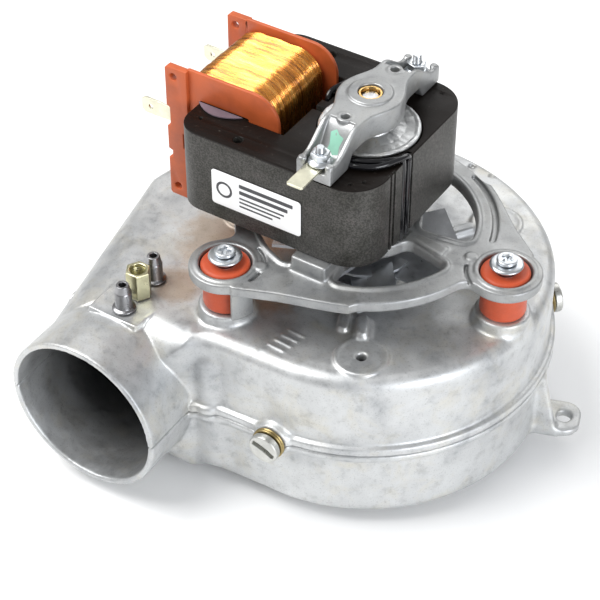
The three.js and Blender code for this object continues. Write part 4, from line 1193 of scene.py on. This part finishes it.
def label():
    """A plain label: bars in place of words and a ring in place of a mark."""
    place = (0, -STACK_HALF - GAP + 0.02, 0)
    outline = rounded_loop(-39.6, -4.6, 100.6, 114.6, 1.2, 5)
    sheet = plate([outline], 0, 0.25, 0.06, UPRIGHT_XZ, place)
    shaped("rating_label", sheet, LABEL, ["label"])
    left = -28.6
    marks = [[rounded_loop(left, right, z - half, z + half, half * 0.4, 3)]
             for right, z, half in ((-7.6, 111.6, 0.75), (-9.6, 109.0, 0.75), (-11, 106.6, 0.35),
                                    (-12.4, 105.0, 0.35), (-15.5, 103.3, 0.35))]
    marks.append([ring_loop(-34.6, 107.6, radius) for radius in (3.2, 2.3)])
    bars = [plate(loops, 0.2, 0.28, 0.01, UPRIGHT_XZ, place) for loops in marks]
    shaped("label_bars", merged(*bars), PRINT)


def bobbin():
    """The coil former: a square tube, two flanges and two terminal plates."""
    opening = rounded_loop(-55.2, -35.6, 93.7, 125.7, 0.6, 3)
    flange = rounded_loop(-61, -23.4, 82.6, 136.8, (2, 10, 10, 2))
    cheek = [(-68.2, 83.4), (-67.4, 82.6), (-59.4, 82.6), (-59.4, 104), (-61.8, 104), (-61.8, 110),
             (-59.4, 110), (-59.4, 136.2), (-67.4, 136.2), (-68.2, 135.4), (-68.2, 120.2), (-66.9, 119.4),
             (-66.9, 112.2), (-68.2, 111.4), (-68.2, 102), (-66.6, 101.4), (-66.6, 98.6), (-68.2, 98)]
    holes = [ring_loop(-64.8, z, 1.4) for z in (86.8, 132.6)]
    parts = []
    for side in (1, -1):
        low, high = sorted((17.2 * side, 18.6 * side))
        parts.append(plate([flange, opening], low, high, 0.4, UPRIGHT_XZ))
        low, high = sorted((17.2 * side, 20 * side))
        parts.append(plate([cheek, *holes], low, high, 0.35, UPRIGHT_XZ))
    tube = [rounded_loop(-56.4, -34.4, 92.5, 126.9, 2.4, 6), opening]
    parts.append(plate(tube, -17.6, 17.6, 0.1, UPRIGHT_XZ))
    shaped("coil_former", merged(*parts), BOBBIN, ["bobbin"])


def rows_joined(rows, sides):
    """Quads between rings of points that follow one another."""
    faces = []
    for row in range(rows - 1):
        for k in range(sides):
            a, b = row * sides + k, row * sides + (k + 1) % sides
            faces.append([a, b, b + sides, a + sides])
    return faces


def ends_closed(rows, sides):
    """The first and the last ring as flat faces."""
    return [list(range(sides))[::-1], [(rows - 1) * sides + k for k in range(sides)]]


def divided(loop, spacing):
    """The same closed outline with extra points on its long straights."""
    found = []
    for (ax, ay), (bx, by) in zip(loop, loop[1:] + loop[:1]):
        count = max(1, round(math.hypot(bx - ax, by - ay) / spacing))
        found += [(ax + (bx - ax) * i / count, ay + (by - ay) * i / count) for i in range(count)]
    return found


def coil():
    """The winding: ridge beside ridge of wire round the leg, with the slight waves of a hand-fed coil."""
    middle_x, middle_z = -45.4, (STACK_LOW + STACK_TOP) / 2
    half_x, half_z, corner = 18.0, 25.4, 10.5
    pitch, length = 0.42, 33.6
    path = divided(rounded_loop(-half_x, half_x, -half_z, half_z, corner, 9), 2.0)
    around_leg = len(path)
    levels = []
    for wire in range(int(length / pitch)):
        base = -length / 2 + wire * pitch
        levels += [(base + pitch * share, crown)
                   for share, crown in ((0, 0), (0.25, 0.75), (0.5, 1), (0.75, 0.75))]
    levels.append((length / 2, 0.0))
    vertices = []
    for along, crown in levels:
        end = abs(along) / (length / 2)
        for px, pz in path:
            bulge = 0.25 * noise.noise(Vector((px * 0.1, along * 0.2, pz * 0.1)))
            ripple = 0.14 * noise.noise(Vector((px * 0.3, along * 1.9, pz * 0.3)))
            drift = 0.6 * noise.noise(Vector((along * 0.5, 0, 2)))
            bands = 0.13 * math.cos(math.tau * (px + pz) / 8.5 + drift)
            grow = -0.85 + 0.17 * crown + bulge + ripple + bands
            grow -= 0.9 * max(0.0, end - 0.93) / 0.07
            reach = math.hypot(px / half_x, pz / half_z)
            slide = 0.25 * math.sin((px + pz) * 0.09 + along * 0.21)
            vertices.append((middle_x + px + grow * px / half_x / reach, along + slide * (1 - end),
                             middle_z + pz + grow * pz / half_z / reach))
    faces = rows_joined(len(levels), around_leg)
    start, last = len(vertices), (len(levels) - 1) * around_leg
    for along in (-length / 2, length / 2):
        vertices += [(middle_x + px * 0.63, along, middle_z + pz * 0.69) for px, pz in path]
    for k in range(around_leg):
        j = (k + 1) % around_leg
        faces.append([k, start + k, start + j, j])
        faces.append([last + j, start + around_leg + j, start + around_leg + k, last + k])
        faces.append([start + k, start + around_leg + k, start + around_leg + j, start + j])
    shaped("winding", (vertices, faces), COPPER, ["coil"], 60)


def spade(name, y):
    """A flat push-on terminal that stands out of a cheek of the bobbin."""
    outline = [(-66.8, 113), (-70, 113), (-71.4, 112.8), (-78, 112.8), (-79.4, 114), (-79.4, 118),
               (-78, 119.1), (-71.4, 119.1), (-70, 118.8), (-66.8, 118.8)]
    shape = plate([outline, ring_loop(-75.6, 115.9, 0.85)], -y - 0.4, -y + 0.4, 0.14, UPRIGHT_XZ)
    shaped(f"spade_{name}", shape, TINNED, [f"spade_terminal_{name}"])


WIRE_SIDES = 14
WIRE_STEPS = 10


def round_wire(points, radius):
    """A closed tube along a smooth line through these points."""
    spots = [Vector(p) for p in points]
    line = []
    for i in range(len(spots) - 1):
        a = spots[max(i - 1, 0)]
        b, c = spots[i], spots[i + 1]
        d = spots[min(i + 2, len(spots) - 1)]
        for k in range(WIRE_STEPS):
            t = k / WIRE_STEPS
            line.append(0.5 * (2 * b + (c - a) * t + (2 * a - 5 * b + 4 * c - d) * t * t
                               + (3 * b - a - 3 * c + d) * t ** 3))
    line.append(spots[-1])
    vertices = []
    side = None
    for i, spot in enumerate(line):
        ahead = (line[min(i + 1, len(line) - 1)] - line[max(i - 1, 0)]).normalized()
        side = ahead.orthogonal() if side is None else side - ahead * side.dot(ahead)
        side.normalize()
        other = ahead.cross(side)
        for k in range(WIRE_SIDES):
            c, s = polar(radius, 360 * k / WIRE_SIDES)
            vertices.append(spot + side * c + other * s)
    return vertices, rows_joined(len(line), WIRE_SIDES) + ends_closed(len(line), WIRE_SIDES)


def shading_rings():
    """Two lacquered wires round each shaded pole; the rear pair is the front pair turned half round."""
    outer = [(1.5, -21.0, 126.9), (7, -20.0, 127.1), (12.5, -17.2, 127.1), (16.8, -13.2, 127.0),
             (18.3, -10.6, 126.2), (18.7, -9.9, 123), (18.7, -9.9, 110), (18.7, -9.9, 93)]
    inner = [(3.0, -23.4, 126.8), (9, -22.1, 127.0), (14.6, -18.6, 127.0), (18.2, -12.0, 127.0),
             (19.0, -8.0, 126.2), (18.7, -6.6, 123), (18.7, -6.6, 110), (18.7, -6.6, 93)]
    for name, degrees, shift in (("front", 0, 0.0), ("rear", 180, -1.6)):
        turn = Matrix.Rotation(math.radians(degrees), 3, "Z")
        wires = [round_wire([turn @ Vector(p) + Vector((shift, 0, 0)) for p in line], 1.0)
                 for line in (outer, inner)]
        shaped(f"shading_wire_{name}", merged(*wires), LACQUER, [f"shading_ring_{name}"], 60)


def rotor_disc():
    """The rough cast end ring that shows under the bridge."""
    profile = softened([(3.3, 125.2), (16.8, 125.2), (17.15, 125.7), (17.0, 126.4), (16.2, 126.7),
                        (15.2, 126.3), (12, 126.5), (8, 127.1), (6.8, 129.1), (3.3, 129.1)], 0.3)
    vertices, faces = lathe(profile, segments=144)
    rough = []
    for v in vertices:
        radius = math.hypot(v.x, v.y)
        amount = 0.24 * noise.fractal(Vector((v.x * 0.5, v.y * 0.5, v.z)), 0.8, 2.0, 3)
        wide = 1 + 0.008 * amount
        lift = amount * (1.0 if v.z > 126 else 0.3) * (radius > 5)
        rough.append(Vector((v.x * wide, v.y * wide, v.z + lift)))
    shaped("rotor_disc", (rough, faces), CAST_ROUGH, ["rotor_end_ring_upper"], 60,
           "rotor")


def earth_tag():
    """The flat blade under the front nut, with a dimple for the hole."""
    low, high = BRIDGE_FLOOR + GAP, BRIDGE_FLOOR + GAP + 0.8
    middle = -0.6
    stations = ((-26.6, 2.0), (-30, 3.0), (-36, 3.0), (-44.6, 3.0), (-45.2, 2.5))
    vertices = []
    for y, half in stations:
        left, right = middle - half, middle + half
        vertices += [(left, y, low), (right, y, low), (right, y, high), (left, y, high)]
    faces = rows_joined(len(stations), 4) + ends_closed(len(stations), 4)
    blade = shaped("earth_blade", (vertices, faces), TINNED, ["earth_tag"], 40)
    soften = blade.modifiers.new("edges", "BEVEL")
    soften.width = 0.12 * MM
    soften.segments = 2
    dimple = softened([(0, low - 0.2), (0.85, low - 0.2), (0.85, low + 0.24), (0, low + 0.24)], 0.05)
    shaped("earth_hole", lathe(dimple, (middle, -42.4, 0), None, 24), IRON)


def paint_mark():
    """A dab of green paint on the front arm."""
    spots = [(-2.4, -20.4), (-0.6, -19.6), (0.8, -20.4), (2.6, -20.8), (2.0, -22.4), (2.4, -24),
             (0.6, -24.6), (-0.4, -23.8), (-1.8, -24), (-1.6, -22.4)]
    vertices, faces = [], []
    for x, y in spots + [(0.2, -22)]:
        height = float(trough_floor(abs(y)))
        vertices += [(x, y, height + 0.06), (x, y, height - 0.2)]
    count = len(spots)
    for i in range(count):
        j = (i + 1) % count
        faces += [[2 * i, 2 * j, 2 * count], [2 * j + 1, 2 * i + 1, 2 * count + 1],
                  [2 * j, 2 * i, 2 * i + 1, 2 * j + 1]]
    shaped("green_dab", (vertices, faces), PAINT_MARK)


# ---------------------------------------------------------------- build

upper_shell()
lower_shell()
spider_bracket()
bearing_bridge()
grommets()
clamp_screws()
bridge_bolts()
taps()
stator()
label()
bobbin()
coil()
spade("front", -18.6)
spade("rear", 18.6)
shading_rings()
rotor_disc()
earth_tag()
paint_mark()

# CAD nodes that are shown as they are, each with its material.
CARRIED_OVER = (
    (ZINC, ("grommet_sleeve_1", "grommet_sleeve_2", "grommet_sleeve_3", "bush_retainer", "impeller_nut")),
    (LINING, ("coil_liner", "thrust_washer_upper", "thrust_washer_lower")),
    (BRONZE, ("upper_bush", "lower_bush")),
    (SHEET_METAL, ("shaft_seal_disc", "cooling_fan", "impeller")),
    (SHAFT_STEEL, ("shaft",)),
    (IRON, ("rotor_core",)),
    (CAST_ROUGH, ("rotor_end_ring_lower",)),
)
for material, nodes in CARRIED_OVER:
    for node in nodes:
        mesh = frame["nodes"][node].data
        mesh.materials.clear()
        mesh.materials.append(material)


# ---------------------------------------------------------------- stage

def floor():
    mesh = bpy.data.meshes.new("floor")
    reach, depth = 6.0, -0.5 * MM
    corners = ((-reach, -reach), (reach, -reach), (reach, reach), (-reach, reach))
    mesh.from_pydata([(x, y, depth) for x, y in corners], [], [[0, 1, 2, 3]])
    ground = bpy.data.objects.new("floor", mesh)
    bpy.context.scene.collection.objects.link(ground)
    look = Look("floor_card", Roughness=0.6)
    card = look.ramp(look.noise(300, 2), (0.3, (0.93, 0.93, 0.93)), (0.7, (0.95, 0.95, 0.945)))
    look.set("Base Color", card)
    mesh.materials.append(look.material)


def softbox(name, place, aim, size, power, color=(1, 1, 1)):
    """A flat rectangular lamp in metres and watts, aimed at a point."""
    light = bpy.data.lights.new(name, "AREA")
    light.shape = "RECTANGLE"
    light.size, light.size_y = size
    light.energy = power
    light.color = color
    lamp = bpy.data.objects.new(name, light)
    bpy.context.scene.collection.objects.link(lamp)
    lamp.location = place
    lamp.rotation_mode = "QUATERNION"
    lamp.rotation_quaternion = (Vector(aim) - Vector(place)).to_track_quat("-Z", "Y")


def camera():
    """The view of the photograph: an aim point, two angles and a distance."""
    lens = bpy.data.cameras.new("camera")
    lens.lens = 115.18
    lens.sensor_width = 36
    lens.clip_start = 0.01
    lens.clip_end = 30
    eye = bpy.data.objects.new("camera", lens)
    bpy.context.scene.collection.objects.link(eye)
    azimuth, elevation, distance = math.radians(32.67), math.radians(41.41), 701.37
    back = Vector((math.sin(azimuth) * math.cos(elevation), -math.cos(azimuth) * math.cos(elevation),
                   math.sin(elevation)))
    eye.location = point(-27.21, 0, 36.53) + back * distance * MM
    eye.rotation_mode = "QUATERNION"
    eye.rotation_quaternion = (-back).to_track_quat("-Z", "Y")
    bpy.context.scene.camera = eye


def surroundings():
    world = bpy.data.worlds.new("studio")
    world.use_nodes = True
    background = world.node_tree.nodes["Background"]
    background.inputs["Color"].default_value = (1, 1, 1, 1)
    background.inputs["Strength"].default_value = 0.38
    bpy.context.scene.world = world
    bpy.context.scene.view_settings.view_transform = "Standard"


floor()
surroundings()
softbox("key", (-0.5, -0.3, 0.95), (0, 0, 0.05), (0.8, 0.8), 13.5)
softbox("back", (0.0, 0.95, 0.75), (0, 0, 0.08), (1.2, 0.5), 4.5)
softbox("side", (0.85, -0.35, 0.4), (0, 0, 0.06), (0.5, 0.5), 6, (0.92, 0.95, 1.0))
camera()
